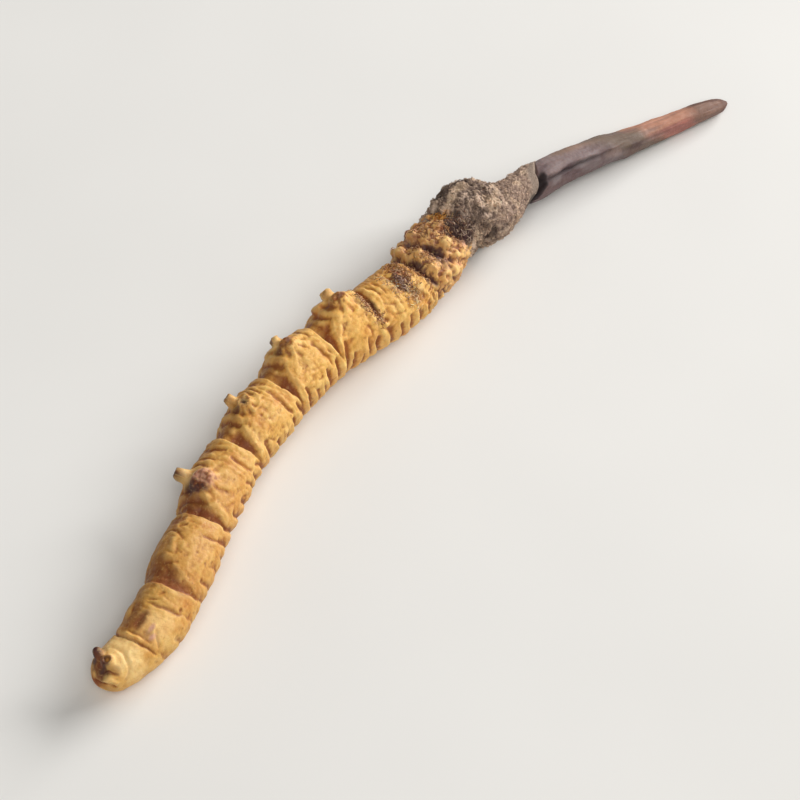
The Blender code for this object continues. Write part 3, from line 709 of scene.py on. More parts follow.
def stroke_lift(place, body, stroke):
    """Height of a crease or ridge that follows a line on the skin and fades at its ends."""
    height, tail_width, head_width, *points = stroke
    line = curve_through(points, 5) if len(points) > 2 else np.array(points, float)
    path = on_body(line[:, 0], line[:, 1])
    reach = 2.6 * max(tail_width, head_width)
    near = (place[:, 0] > line[:, 0].min() - reach) & (place[:, 0] < line[:, 0].max() + reach)
    start, step = path[:-1], np.diff(path, axis=0)
    away = body[near][:, :, None, :] - start
    share = np.clip(np.sum(away * step, axis=-1) / np.sum(step * step, axis=-1), 0.0, 1.0)
    distance = np.linalg.norm(away - share[..., None] * step, axis=-1)
    chosen = np.argmin(distance, axis=-1)[..., None]
    share = np.take_along_axis(share, chosen, axis=-1)[..., 0]
    distance = np.take_along_axis(distance, chosen, axis=-1)[..., 0]
    chosen = chosen[..., 0]
    line_place = line[chosen, 0] * (1.0 - share) + line[chosen + 1, 0] * share
    along = (chosen + share) / len(step)
    fade = np.sqrt(np.clip(4.0 * along * (1.0 - along), 0.0, 1.0))
    width = np.where(place[near] > line_place, head_width, tail_width)
    sharpness = 1.3 if height < 0 else 2.0
    lift = np.zeros(place.shape)
    lift[near] = height * fade * np.exp(-((distance / width) ** sharpness))
    return lift


def across_belly(stroke):
    """A stroke that reaches the belly's middle runs on to the far flank as its mirror image."""
    height, tail_width, head_width, *points = stroke
    first = points[0][1]
    if first >= BELLY_ANGLE and points[-1][1] < first:
        mirrored = [(u, 2.0 * BELLY_ANGLE - angle) for u, angle in points if 2.0 * BELLY_ANGLE - angle > first + 8.0]
        points = mirrored[::-1] + points
    return height, tail_width, head_width, *points


def flank_strokes():
    """Each valley of the flank as a stroke down to the middle of the back, and its fellow on the far side."""
    shift = np.random.RandomState(5)
    for depth, head_width, *points in FLANK_VALLEYS:
        depth = FLANK_STRENGTH * depth
        ended = (*points, (points[-1][0], BELLY_ANGLE - 186.0))
        yield (-depth, 0.1, head_width, *ended)
        moved = shift.uniform(-0.25, 0.25)
        yield (-depth, 0.1, head_width, *((u + moved, 2.0 * BELLY_ANGLE - angle) for u, angle in ended))


def hollow_lift(place, from_belly, hollow):
    """Height of a hollow with a steep lip on the tail's side and a slope up to a ridge on the head's side."""
    centre, depth, length = hollow
    outline = np.array(HOLLOW_OUTLINE)
    away = np.abs(from_belly)
    lip = centre + np.interp(away, outline[:, 0], outline[:, 1])
    edge = centre + length * np.interp(away, outline[:, 0], outline[:, 2])
    deep = depth * np.interp(away, outline[:, 0], outline[:, 3])
    share = np.clip((place - lip) / (edge - lip), 0.0, 1.0)
    wall = np.exp(-((np.minimum(place - lip, 0.0) / 0.11) ** 2))
    return -deep * (1.0 - share**1.8) * wall


def hump_lift(place, from_belly, hump):
    """Height of a hump on the belly: a slow rise from the tail's side and a quicker drop after."""
    centre, height = hump
    rise = smooth_step(centre - 2.4, centre - 0.4, place)
    drop = 1.0 - smooth_step(centre + 0.6, centre + 2.5, place)
    return height * rise * drop * np.exp(-((from_belly / 48.0) ** 2))


def leg_pleats(body, leg, phase):
    """Height of the small pleats that run out from a leg's foot."""
    u, angle, foot, *_ = leg
    seat = on_body(np.array(u), np.array(angle))
    _, along, _, _ = ROUTE.frame(np.array(u))
    out = ROUTE.across(np.array(u), np.array(angle))
    away = body - seat
    turn = np.arctan2(away @ np.cross(out, along), away @ along)
    distance = np.linalg.norm(away, axis=-1)
    warp = 0.8 * NOISE.wave(body / 0.8 + phase)
    ring = np.exp(-(((distance - 0.85 * foot) / (0.42 * foot)) ** 2))
    return 0.035 * ring * np.cos(9.0 * turn + phase + 2.0 * warp)


def larva_grid():
    """Places and angles of the skin's grid, with rings close together on the round tail end."""
    cap = TAIL_ROUNDING * (1.0 - np.cos(np.linspace(0.06, math.pi / 2, 24)))
    body = np.linspace(TAIL_ROUNDING, LARVA_LENGTH, 570)[1:]
    places = np.concatenate((cap, body))
    return np.meshgrid(places, ring_angles(166, -8.0, 0.3), indexing="ij")


def larva_lift(place, degrees):
    """Height of all the hollows, humps, valleys and drawn lines above the smooth skin."""
    body = on_body(place, degrees)
    sway = 0.12 * NOISE.wave(body / 1.9) + 0.09 * NOISE.wave(body / 0.7 + 40.0)
    from_belly = turn_between(degrees, BELLY_ANGLE) + 7.0 * NOISE.wave(body / 2.3 + 80.0)
    lift = np.zeros(place.shape)
    for hollow in HOLLOWS:
        lift += hollow_lift(place + 0.5 * sway, from_belly, hollow)
    for hump in HUMPS:
        lift += hump_lift(place, from_belly, hump)
    swayed = on_body(place + sway, degrees)
    for stroke in (*map(across_belly, STROKES), *flank_strokes()):
        lift += stroke_lift(place + sway, swayed, stroke)
    for index, leg in enumerate(PROLEGS):
        lift += leg_pleats(body, leg, 1.7 * index)
    lift += 0.05 * NOISE.layers(body / 0.9 + 7.0, 2) * smooth_step(0.0, 2.0, place)
    heaped = 0.22 * (NOISE.ridges(body / 0.6 + 14.0, 2) - 0.74) + 0.12 * (ROUGH.ridges(body / 0.28, 2) - 0.74)
    return lift + heaped * smooth_step(39.4, 40.8, place)


def raised(points, seat, axis, foot, height, profile):
    """Draws up the skin round a seat into a leg or knob of that profile. Returns the points and how much each moved."""
    away = points - seat
    lengthwise = away @ axis
    outward = away - lengthwise[..., None] * axis
    distance = np.maximum(np.linalg.norm(outward, axis=-1), 1e-6)
    share = distance / foot
    inside = (share < 1.0) & (np.abs(lengthwise) < 1.2 * foot)
    table = np.array(profile)
    radius = foot * np.interp(share, table[:, 0], table[:, 1])
    lift = height * np.interp(share, table[:, 0], table[:, 2])
    keep = smooth_step(0.3, 1.0, share)
    moved = seat + outward / distance[..., None] * radius[..., None]
    moved = moved + axis * (lengthwise * keep + lift)[..., None]
    amount = np.where(inside, lift / height, 0.0)
    return np.where(inside[..., None], moved, points), amount


def seat_on(points, place, degrees, u, angle):
    """The grid's point nearest a place and an angle."""
    away = (place - u) ** 2 + (turn_between(degrees, angle) * 0.04) ** 2
    return points.reshape(-1, 3)[np.argmin(away)]


def larva_points():
    """The skin's grid in mm, its places and angles, its lift, and masks of the legs, their tips and the knobs."""
    place, degrees = larva_grid()
    radius = smooth_radius(place)
    lift = larva_lift(place, degrees)
    body = on_body(place, degrees)
    points = body + grid_normals(body) * lift[..., None]
    legs = np.zeros(place.shape)
    knobs = np.zeros(place.shape)
    for u, angle, foot, height, lean, back, profile in PROLEGS:
        out = ROUTE.across(np.array(u), np.array(angle + lean * np.sign(angle - BELLY_ANGLE)))
        _, along, _, _ = ROUTE.frame(np.array(u))
        axis = out * math.cos(math.radians(back)) - along * math.sin(math.radians(back))
        seat = seat_on(points, place, degrees, u, angle)
        points, amount = raised(points, seat, axis, foot, height, profile)
        legs = np.maximum(legs, amount)
    far_knobs = [(u, 2.0 * BELLY_ANGLE - angle, *rest) for u, angle, *rest in KNOBS if angle < 10.0]
    for u, angle, foot, height, profile in (*KNOBS, *far_knobs, *CLASPERS):
        axis = ROUTE.across(np.array(u), np.array(float(angle)))
        if u < TAIL_ROUNDING:
            axis = unit(axis - 0.15 * ROUTE.start)
        seat = seat_on(points, place, degrees, u, angle)
        points, amount = raised(points, seat, axis, foot, height, profile)
        knobs = np.maximum(knobs, amount)
    return points, place, degrees, radius, lift, legs, knobs


def fine_wrinkles(points, place, degrees, radius):
    """Small creases of dried skin, lengthwise on the humps and crosswise between them, with dents and pores."""
    girth = np.radians(degrees) * radius
    warp = 0.5 * NOISE.wave(points / 0.7)[..., None]
    level = np.zeros(place.shape)
    crosswise = np.abs(ROUGH.wave(np.stack((place / 0.45, girth / 2.2, level), axis=-1) + warp))
    lengthwise = np.abs(ROUGH.wave(np.stack((place / 2.2, girth / 0.5, level + 9.0), axis=-1) + warp))
    on_hump = sum(np.exp(-(((place - centre + 0.1) / 1.6) ** 4)) for centre, _ in HUMPS)
    on_hump = on_hump * smooth_step(-80.0, -50.0, degrees)
    folds = lengthwise * on_hump + 1.5 * crosswise * (1.0 - on_hump)
    nearest, second = NOISE.cells(points / 0.42)
    puckers = smooth_step(0.0, 0.4, second - nearest)
    pores = smooth_step(0.2, 0.08, NOISE.cells(points / 0.6 + 70.0)[0])
    small = 0.035 * ROUGH.wave(points / 0.6 + 31.0) + 0.014 * ROUGH.layers(points / 0.24, 2)
    strength = 0.3 + 0.35 * smooth_step(3.0, 9.0, place) + 0.3 * smooth_step(18.0, 22.0, place)
    strength = strength + 0.8 * smooth_step(39.0, 41.0, place)
    papery = np.abs(NOISE.wave(points / 0.5 + 50.0 + warp)) + 0.5 * np.abs(ROUGH.wave(points / 0.24 + warp))
    papery = 0.2 * (papery - 0.4) * smooth_step(38.6, 40.4, place)
    return strength * (0.075 * (folds - 0.2) + 0.02 * (puckers - 1.0) + small) - 0.03 * pores + papery


def mixed(colours, colour, amount):
    """The colours moved towards one colour by an amount at each point."""
    amount = np.clip(amount, 0.0, 1.0)[..., None]
    return colours * (1.0 - amount) + linear(colour) * amount


def spotted(colours, points, place, degrees, radius, spots):
    edge = 0.35 * NOISE.layers(points / 0.45 + 55.0, 2)
    for colour, u, angle, half_length, half_width, amount in spots:
        across = turn_between(degrees, angle) * math.radians(1.0) * np.maximum(radius, 0.9)
        distance = np.hypot((place - u) / half_length, across / half_width) + edge
        colours = mixed(colours, colour, amount * (1.0 - smooth_step(0.35, 1.25, distance)))
    return colours


def skin_colours(points, place, degrees, radius, height, legs, knobs):
    """Colour at each point of the skin: ochre with painted highlights on the crests, painted orange-brown shade in the
    folds and hollows and on the far flank, spots, and dark tips on the legs.
    """
    blotch = 0.5 + 0.5 * NOISE.layers(points / 1.3 + 3.0, 3)
    colours = np.broadcast_to(linear(SKIN_LIGHT), (*place.shape, 3)).copy()
    colours = mixed(colours, SKIN_PALE, 0.45 * smooth_step(0.5, 0.25, blotch))
    colours = mixed(colours, SKIN_DEEP, 0.9 * smooth_step(0.45, 0.72, blotch))
    colours = mixed(colours, SKIN_DEEP, 0.4 * smooth_step(6.0, 8.5, place) * smooth_step(20.5, 18.0, place))
    # Painted shade: the far flank, turned away from the window light, is darkened towards the crease colour.
    far_side_shade = smooth_step(10.0, 45.0, degrees) * smooth_step(115.0, 75.0, degrees)
    colours = mixed(colours, SKIN_CREASE, 0.45 * far_side_shade)
    # Painted shade in the folds and hollows: points lying below their smoothed neighbours are darkened towards the
    # crease colour.
    near = blurred(height, 3, 3)
    wide = blurred(height, 9, 8)
    valley = np.clip((near - height) / 0.045, 0.0, 1.0)
    basin_shade = np.clip((wide - height) / 0.2, 0.0, 1.0)
    crest = np.clip((height - near) / 0.04, 0.0, 1.0)
    thorax = smooth_step(39.5, 43.0, place)
    stained = smooth_step(-0.25, 0.35, NOISE.layers(points / 0.8 + 44.0, 2))
    # The thorax's share in this line is its own browner, stained tint.
    colours = mixed(colours, SKIN_CREASE, 0.95 * basin_shade + (0.15 + 0.45 * stained) * thorax)
    colours = mixed(colours, SKIN_CREASE, (0.75 + 0.15 * thorax) * valley)
    # Painted shade together with the dark mud of the thorax: its low places and valleys are darkened towards bark
    # brown.
    colours = mixed(colours, SKIN_BARK, 0.4 * thorax * valley)
    sunken_shade = np.clip((blurred(height, 20, 16) - height) / 0.28, 0.0, 1.0)
    colours = mixed(colours, SKIN_BARK, 1.8 * sunken_shade * thorax)
    # Painted highlight: points standing above their smoothed neighbours are paled.
    colours = mixed(colours, SKIN_PALE, 0.35 * crest)
    colours = mixed(colours, SKIN_PINK, 0.22 * thorax)
    colours = colours * table_value(SKIN_TONE, place)[..., None]
    colours = spotted(colours, points, place, degrees, radius, SPOTS)
    pitted = smooth_step(0.1, 0.45, NOISE.wave(points / 1.2 + 90.0)) * smooth_step(-20.0, -50.0, degrees)
    pores = smooth_step(0.3, 0.12, NOISE.cells(points / 0.34 + 70.0)[0])
    colours = mixed(colours, SKIN_BROWN, 0.6 * pitted * pores)
    stain = smooth_step(-0.2, 0.3, NOISE.wave(points / 0.22 + 12.0))
    colours = mixed(colours, SKIN_BROWN, 0.7 * smooth_step(0.45, 0.85, legs) * stain)
    colours = mixed(colours, SKIN_PALE, 0.5 * smooth_step(0.4, 0.9, knobs) * smooth_step(20.0, 30.0, place))
    return colours


def grid_object(name, points, colours, material):
    """A closed tube from a grid of points in mm, with a colour at each point."""
    rows, sides = points.shape[:2]
    ends = np.stack((points[0].mean(axis=0), points[-1].mean(axis=0)))
    corners = np.vstack((points.reshape(-1, 3), ends)) * MM
    row, side = np.meshgrid(np.arange(rows - 1), np.arange(sides), indexing="ij")
    after = (side + 1) % sides
    this, following = row * sides, (row + 1) * sides
    quads = np.stack((this + side, following + side, following + after, this + after), axis=-1)
    faces = quads.reshape(-1, 4).tolist()
    start, finish = rows * sides, rows * sides + 1
    last = (rows - 1) * sides
    for k in range(sides):
        j = (k + 1) % sides
        faces.append((start, k, j))
        faces.append((finish, last + j, last + k))
    tints = np.vstack((colours.reshape(-1, 3), colours[0].mean(axis=0), colours[-1].mean(axis=0)))
    return mesh_object(name, corners, faces, tints, material)


def mesh_object(name, corners, faces, tints, material):
    """A smooth object with a colour at each corner, kept in its tint attribute."""
    mesh = bpy.data.meshes.new(name)
    mesh.from_pydata(corners.tolist(), [], faces)
    layer = mesh.attributes.new("tint", "FLOAT_COLOR", "POINT")
    layer.data.foreach_set("color", np.hstack((tints, np.ones((len(tints), 1)))).ravel())
    mesh.materials.append(material)
    mesh.update()
    mesh.shade_smooth()
    made = bpy.data.objects.new(name, mesh)
    bpy.context.scene.collection.objects.link(made)
    return made


class Shader:
    """A material's nodes, added and joined by short calls."""

    def __init__(self, name):
        self.material = bpy.data.materials.new(name)
        self.material.use_nodes = True
        self.tree = self.material.node_tree
        self.surface = self.tree.nodes["Principled BSDF"]
        coordinates = self.tree.nodes.new("ShaderNodeTexCoord")
        self.in_mm = self.tree.nodes.new("ShaderNodeVectorMath")
        self.in_mm.operation = "SCALE"
        self.in_mm.inputs["Scale"].default_value = 1.0 / MM
        self.join(coordinates.outputs["Object"], self.in_mm.inputs[0])

    def join(self, output, socket):
        self.tree.links.new(output, socket)

    def tint(self):
        found = self.tree.nodes.new("ShaderNodeAttribute")
        found.attribute_name = "tint"
        return found.outputs["Color"]

    def noise(self, size, detail=3.0, roughness=0.55, distortion=0.0):
        """A noise whose bumps are about that many mm across."""
        made = self.tree.nodes.new("ShaderNodeTexNoise")
        made.inputs["Scale"].default_value = 1.0 / size
        made.inputs["Detail"].default_value = detail
        made.inputs["Roughness"].default_value = roughness
        made.inputs["Distortion"].default_value = distortion
        self.join(self.in_mm.outputs[0], made.inputs["Vector"])
        return made.outputs["Fac"]

    def cells(self, size, feature="F1"):
        made = self.tree.nodes.new("ShaderNodeTexVoronoi")
        made.feature = feature
        made.inputs["Scale"].default_value = 1.0 / size
        self.join(self.in_mm.outputs[0], made.inputs["Vector"])
        return made.outputs["Distance"]

    def ranged(self, value, low, high, to_low, to_high):
        made = self.tree.nodes.new("ShaderNodeMapRange")
        for socket, number in zip(made.inputs[1:5], (low, high, to_low, to_high)):
            socket.default_value = number
        self.join(value, made.inputs["Value"])
        return made.outputs["Result"]

    def blend(self, kind, amount, first, second):
        """Two colours mixed. Each of amount and second may be a value or a socket."""
        made = self.tree.nodes.new("ShaderNodeMix")
        made.data_type = "RGBA"
        made.blend_type = kind
        for socket, given in ((made.inputs["Factor"], amount), (made.inputs[6], first), (made.inputs[7], second)):
            if isinstance(given, bpy.types.NodeSocket):
                self.join(given, socket)
            else:
                socket.default_value = given
        return made.outputs[2]

    def bump(self, height, distance, strength, under=None):
        made = self.tree.nodes.new("ShaderNodeBump")
        made.inputs["Strength"].default_value = strength
        made.inputs["Distance"].default_value = distance * MM
        self.join(height, made.inputs["Height"])
        if under is not None:
            self.join(under, made.inputs["Normal"])
        return made.outputs["Normal"]

    def finish(self, colour, roughness, normal, specular):
        self.join(colour, self.surface.inputs["Base Color"])
        self.join(roughness, self.surface.inputs["Roughness"])
        self.join(normal, self.surface.inputs["Normal"])
        self.surface.inputs["Specular IOR Level"].default_value = specular
        return self.material


def skin_material():
    """Dry waxy skin: mottled ochre with fine pores, grain and tiny creases."""
    shader = Shader("larva_skin")
    mottle = shader.ranged(shader.noise(0.5, 4.0), 0.35, 0.65, 0.0, 1.0)
    colour = shader.blend("MULTIPLY", mottle, shader.tint(), (0.88, 0.8, 0.7, 1.0))
    speck = shader.ranged(shader.noise(0.13, 3.0, 0.6), 0.56, 0.72, 0.0, 0.45)
    colour = shader.blend("MULTIPLY", speck, colour, (0.68, 0.55, 0.45, 1.0))
    glint = shader.ranged(shader.noise(0.2, 3.0, 0.6, 0.4), 0.56, 0.7, 0.0, 0.25)
    colour = shader.blend("MIX", glint, colour, (0.86, 0.57, 0.2, 1.0))
    grain = shader.bump(shader.noise(0.11, 4.0, 0.65), 0.03, 0.55)
    pores = shader.ranged(shader.cells(0.26), 0.0, 0.35, 0.0, 1.0)
    pitted = shader.bump(pores, 0.02, 0.35, grain)
    creased = shader.bump(shader.noise(0.42, 3.0, 0.6, 1.2), 0.06, 0.5, pitted)
    roughness = shader.ranged(shader.noise(0.3, 3.0), 0.3, 0.7, 0.46, 0.68)
    shader.surface.inputs["Subsurface Weight"].default_value = 0.2
    shader.surface.inputs["Subsurface Radius"].default_value = (1.0, 0.45, 0.2)
    shader.surface.inputs["Subsurface Scale"].default_value = 0.5 * MM
    return shader.finish(colour, roughness, creased, 0.4)


def make_larva(material, thread):
    """The husk and the loose threads in its folds."""
    points, place, degrees, radius, lift, legs, knobs = larva_points()
    fine = fine_wrinkles(points, place, degrees, radius) * (1.0 - 0.6 * knobs)
    fine = fine + 0.06 * smooth_step(0.1, 0.5, legs) * ROUGH.wave(points / 0.2)
    height = radius + lift + fine
    points = points + grid_normals(points) * fine[..., None]
    points[..., 2] = np.maximum(points[..., 2], 0.0)
    colours = skin_colours(points, place, degrees, radius, height, legs, knobs)
    threads = make_threads("skin_threads", points, place, degrees, colours, SKIN_THREADS, thread)
    return grid_object("larva_husk", points, colours, material), threads


# The crust: place, radius up, radius towards +Y, radius down, radius towards -Y, mm
CRUST_SECTIONS = (
    (44.6, 1.6, 1.5, 1.8, 1.4),
    (45.4, 2.1, 2.05, 2.1, 2.0),
    (46.2, 2.35, 2.25, 2.25, 2.2),
    (47.4, 2.6, 2.5, 2.2, 2.15),
    (48.6, 2.75, 2.72, 2.4, 2.25),
    (49.6, 2.55, 2.55, 2.5, 2.4),
    (50.6, 2.15, 2.15, 2.3, 2.35),
    (51.6, 1.72, 1.7, 1.8, 1.9),
    (52.6, 1.64, 1.62, 1.4, 1.4),
    (53.6, 1.66, 1.66, 1.15, 1.1),
    (54.4, 1.72, 1.74, 1.02, 0.98),
    (55.2, 1.72, 1.76, 0.95, 0.92),
    (56.2, 1.6, 1.64, 0.9, 0.9),
)
CRUST_START = 44.6
CRUST_END = 54.5

# Where the crust ends round the neck: angle, place
CRUST_EDGE = ((-100.0, 53.1), (-60.0, 54.35), (-30.0, 54.7), (0.0, 54.9), (50.0, 56.3), (110.0, 55.3), (180.0, 53.9))

FELT_BLACK = (44, 33, 33)
FELT_PLUM = (80, 56, 56)
FELT_DARK = (100, 82, 74)
FELT_MID = (180, 157, 141)
FELT_TAN = (220, 192, 165)
FELT_ROSE = (156, 131, 116)
FELT_GOLD = (204, 138, 60)
COLLAR = (156, 138, 124)
COLLAR_DARK = (92, 82, 74)

# Patches of colour on the crust, as the skin's spots
CRUST_SPOTS = (
    (FELT_DARK, 48.6, 30, 1.3, 1.2, 0.8),
    (FELT_DARK, 48.0, -40, 1.0, 1.3, 0.6),
    (FELT_PLUM, 45.8, -34, 1.1, 1.6, 0.95),
    (FELT_PLUM, 46.3, -52, 0.8, 0.9, 0.85),
    (FELT_BLACK, 46.7, -12, 0.4, 0.5, 0.8),
    (FELT_BLACK, 48.8, -38, 0.35, 0.5, 0.8),
    (FELT_BLACK, 49.6, -84, 0.5, 0.6, 0.7),
    (FELT_BLACK, 45.8, 26, 0.5, 0.7, 0.9),
    (FELT_BLACK, 47.8, 52, 1.0, 0.9, 0.7),
    (FELT_TAN, 46.5, 5, 0.6, 0.5, 1.0),
    (FELT_TAN, 47.5, 11, 0.7, 0.45, 0.9),
    (FELT_TAN, 48.4, 17, 0.6, 0.45, 0.9),
    (FELT_TAN, 50.1, -27, 0.55, 0.6, 0.9),
    (FELT_TAN, 47.2, -74, 0.9, 0.8, 0.9),
    (FELT_ROSE, 50.6, -60, 0.8, 0.8, 0.6),
    (FELT_GOLD, 46.3, 4, 0.4, 0.35, 0.9),
)


def directional_radius(table, place, degrees):
    """Radius blended between the four sides of a table's sections."""
    up, side = np.cos(np.radians(degrees)), np.sin(np.radians(degrees))
    vertical = np.where(up > 0, table_value(table, place, 1), table_value(table, place, 3))
    sideways = np.where(side > 0, table_value(table, place, 2), table_value(table, place, 4))
    return vertical * up**2 + sideways * side**2


def crust_edge(degrees):
    """Place at which the crust ends at each angle."""
    angles, places = zip(*CRUST_EDGE)
    return np.interp(degrees, angles, places, period=360.0)


def collar_length(degrees):
    """Length of the smooth collar at each angle: longest where the stalk's gap opens under it."""
    return np.interp(degrees, (-120.0, -90.0, 20.0, 60.0), (0.3, 0.95, 0.95, 0.3))


def crust_points():
    """The felt's grid in mm with its places and angles: lumps, clods and crumbs, and a smooth collar at the neck."""
    place, degrees = np.meshgrid(
        np.linspace(CRUST_START, CRUST_END, 260), ring_angles(340, -8.0, 0.3), indexing="ij"
    )
    place = place + (crust_edge(degrees) - CRUST_END) * smooth_step(50.5, CRUST_END, place)
    out = ROUTE.across(place, degrees)
    points = ROUTE.at(place) + out * directional_radius(CRUST_SECTIONS, place, degrees)[..., None]
    felt = smooth_step(0.25, -0.15, place - crust_edge(degrees) + collar_length(degrees))
    lumps = 0.34 * NOISE.layers(points / 1.2 + 5.0, 2)
    clods = 0.5 * (NOISE.ridges(points / 0.9 + 2.0, 2) - 0.74)
    nearest, second = ROUGH.cells((points + 0.12 * NOISE.wave(points / 0.3)[..., None]) / 0.4)
    crumbs = 0.1 * (smooth_step(0.0, 0.45, second - nearest) - 0.6) + 0.07 * ROUGH.layers(points / 0.16, 2)
    neck = 1.0 - 0.5 * smooth_step(50.0, 51.5, place)
    rim = smooth_step(0.3, 0.0, crust_edge(degrees) - place) ** 2
    points = points + out * (felt * neck * (lumps + clods + crumbs) + 0.05 * felt - 0.5 * rim)[..., None]
    points[..., 2] = np.maximum(points[..., 2], 0.0)
    return points, place, degrees


def make_crust(material, thread):
    """The felt and its loose threads."""
    points, place, degrees = crust_points()
    past_edge = place - crust_edge(degrees) + 0.3 * NOISE.layers(points / 0.5, 2)
    felt = smooth_step(0.25, -0.2, past_edge + collar_length(degrees))
    height = np.linalg.norm(points - ROUTE.at(place), axis=-1)
    low = np.clip((blurred(height, 6, 6) - height) / 0.1, -1.0, 1.0)
    patch = 0.5 + 0.5 * NOISE.layers(points / 1.1 + 21.0, 3)
    pale = 0.5 + 0.5 * NOISE.layers(points / 0.8 + 66.0, 2)
    strand = smooth_step(0.8, 0.93, ROUGH.ridges(points / 0.34 + 3.0, 2))
    speck = 0.5 + 0.5 * ROUGH.layers(points / 0.16 + 60.0, 2)
    colours = np.broadcast_to(linear(FELT_MID), (*place.shape, 3)).copy()
    colours = mixed(colours, FELT_ROSE, 0.8 * smooth_step(50.0, 51.5, place))
    colours = mixed(colours, FELT_DARK, smooth_step(0.45, 0.6, patch) * smooth_step(52.0, 50.0, place))
    colours = mixed(colours, FELT_DARK, 0.5 * smooth_step(0.55, 0.68, patch) * smooth_step(51.0, 53.0, place))
    colours = mixed(colours, FELT_TAN, 0.75 * smooth_step(0.52, 0.66, pale))
    # Painted shade darkens the felt's low places and painted highlight pales its raised ones; the tan strands are the
    # threads' own colour.
    colours = mixed(colours, FELT_BLACK, 0.65 * np.clip(low, 0.0, 1.0))
    colours = mixed(colours, FELT_TAN, 0.3 * strand + 0.4 * np.clip(-low, 0.0, 1.0))
    radius = directional_radius(CRUST_SECTIONS, place, degrees)
    colours = spotted(colours, points, place, degrees, radius, CRUST_SPOTS)
    colours = mixed(colours, FELT_BLACK, 0.5 * smooth_step(0.58, 0.72, speck))
    collar = np.broadcast_to(linear(COLLAR), colours.shape)
    collar = mixed(collar, COLLAR_DARK, smooth_step(-50.0, -66.0, degrees))
    streaks = NOISE.layers(np.stack((place / 1.2, np.radians(degrees) * 4.0, speck), axis=-1), 2)
    collar = mixed(collar, COLLAR_DARK, 0.6 * smooth_step(0.0, 0.4, streaks))
    colours = colours * felt[..., None] + collar * (1.0 - felt[..., None])
    threads = make_threads("felt_threads", points, place, degrees, colours, FELT_THREADS, thread)
    return grid_object("crust_felt", points, colours, material), threads


# Threads: place, angle, half length, half width round the body in mm, how many, length, lift and their colours
FELT_TINTS = (FELT_TAN, (150, 122, 98), FELT_MID, FELT_DARK, FELT_BLACK, (200, 176, 148), (140, 104, 84))
MUD_TINTS = ((180, 156, 142), (150, 116, 98), (124, 82, 66), (90, 66, 58), (160, 124, 106))
TORN_TINTS = ((230, 188, 142), (206, 156, 106), (160, 104, 70), (130, 72, 50), (218, 176, 142))
PALE_TINTS = ((246, 214, 166), (234, 194, 144), (214, 166, 118), (190, 138, 96))
GOLD_TINTS = ((224, 160, 76), (196, 128, 54), (238, 190, 116), (170, 112, 60))
FELT_THREADS = (
    (48.2, -30.0, 3.4, 6.5, 1500, 0.45, 0.06, ()),
    (51.6, -30.0, 1.0, 4.2, 500, 0.3, 0.04, ()),
    (46.2, -32.0, 0.8, 1.8, 200, 0.7, 0.14, FELT_TINTS),
    (48.2, -30.0, 3.4, 6.5, 350, 0.4, 0.08, FELT_TINTS),
)
SKIN_THREADS = (
    (39.0, -14.0, 0.45, 0.7, 200, 0.5, 0.08, MUD_TINTS),
    (39.5, 4.0, 0.6, 1.1, 260, 0.5, 0.1, TORN_TINTS),
    (39.0, -44.0, 0.5, 0.8, 150, 0.45, 0.06, PALE_TINTS),
    (38.2, 0.0, 0.3, 1.2, 120, 0.35, 0.05, PALE_TINTS),
    (40.6, -20.0, 0.25, 1.4, 90, 0.6, 0.12, TORN_TINTS),
    (35.7, -6.0, 0.3, 1.0, 260, 0.3, 0.05, TORN_TINTS),
    (36.0, -44.0, 0.3, 0.4, 100, 0.3, 0.05, TORN_TINTS),
    (42.2, 10.0, 0.5, 1.6, 220, 0.5, 0.12, TORN_TINTS),
    (44.2, 20.0, 0.6, 1.6, 220, 0.5, 0.1, TORN_TINTS),
    (45.0, -20.0, 0.4, 1.2, 140, 0.5, 0.1, TORN_TINTS),
    (46.0, 8.0, 0.35, 0.7, 140, 0.6, 0.12, GOLD_TINTS),
)


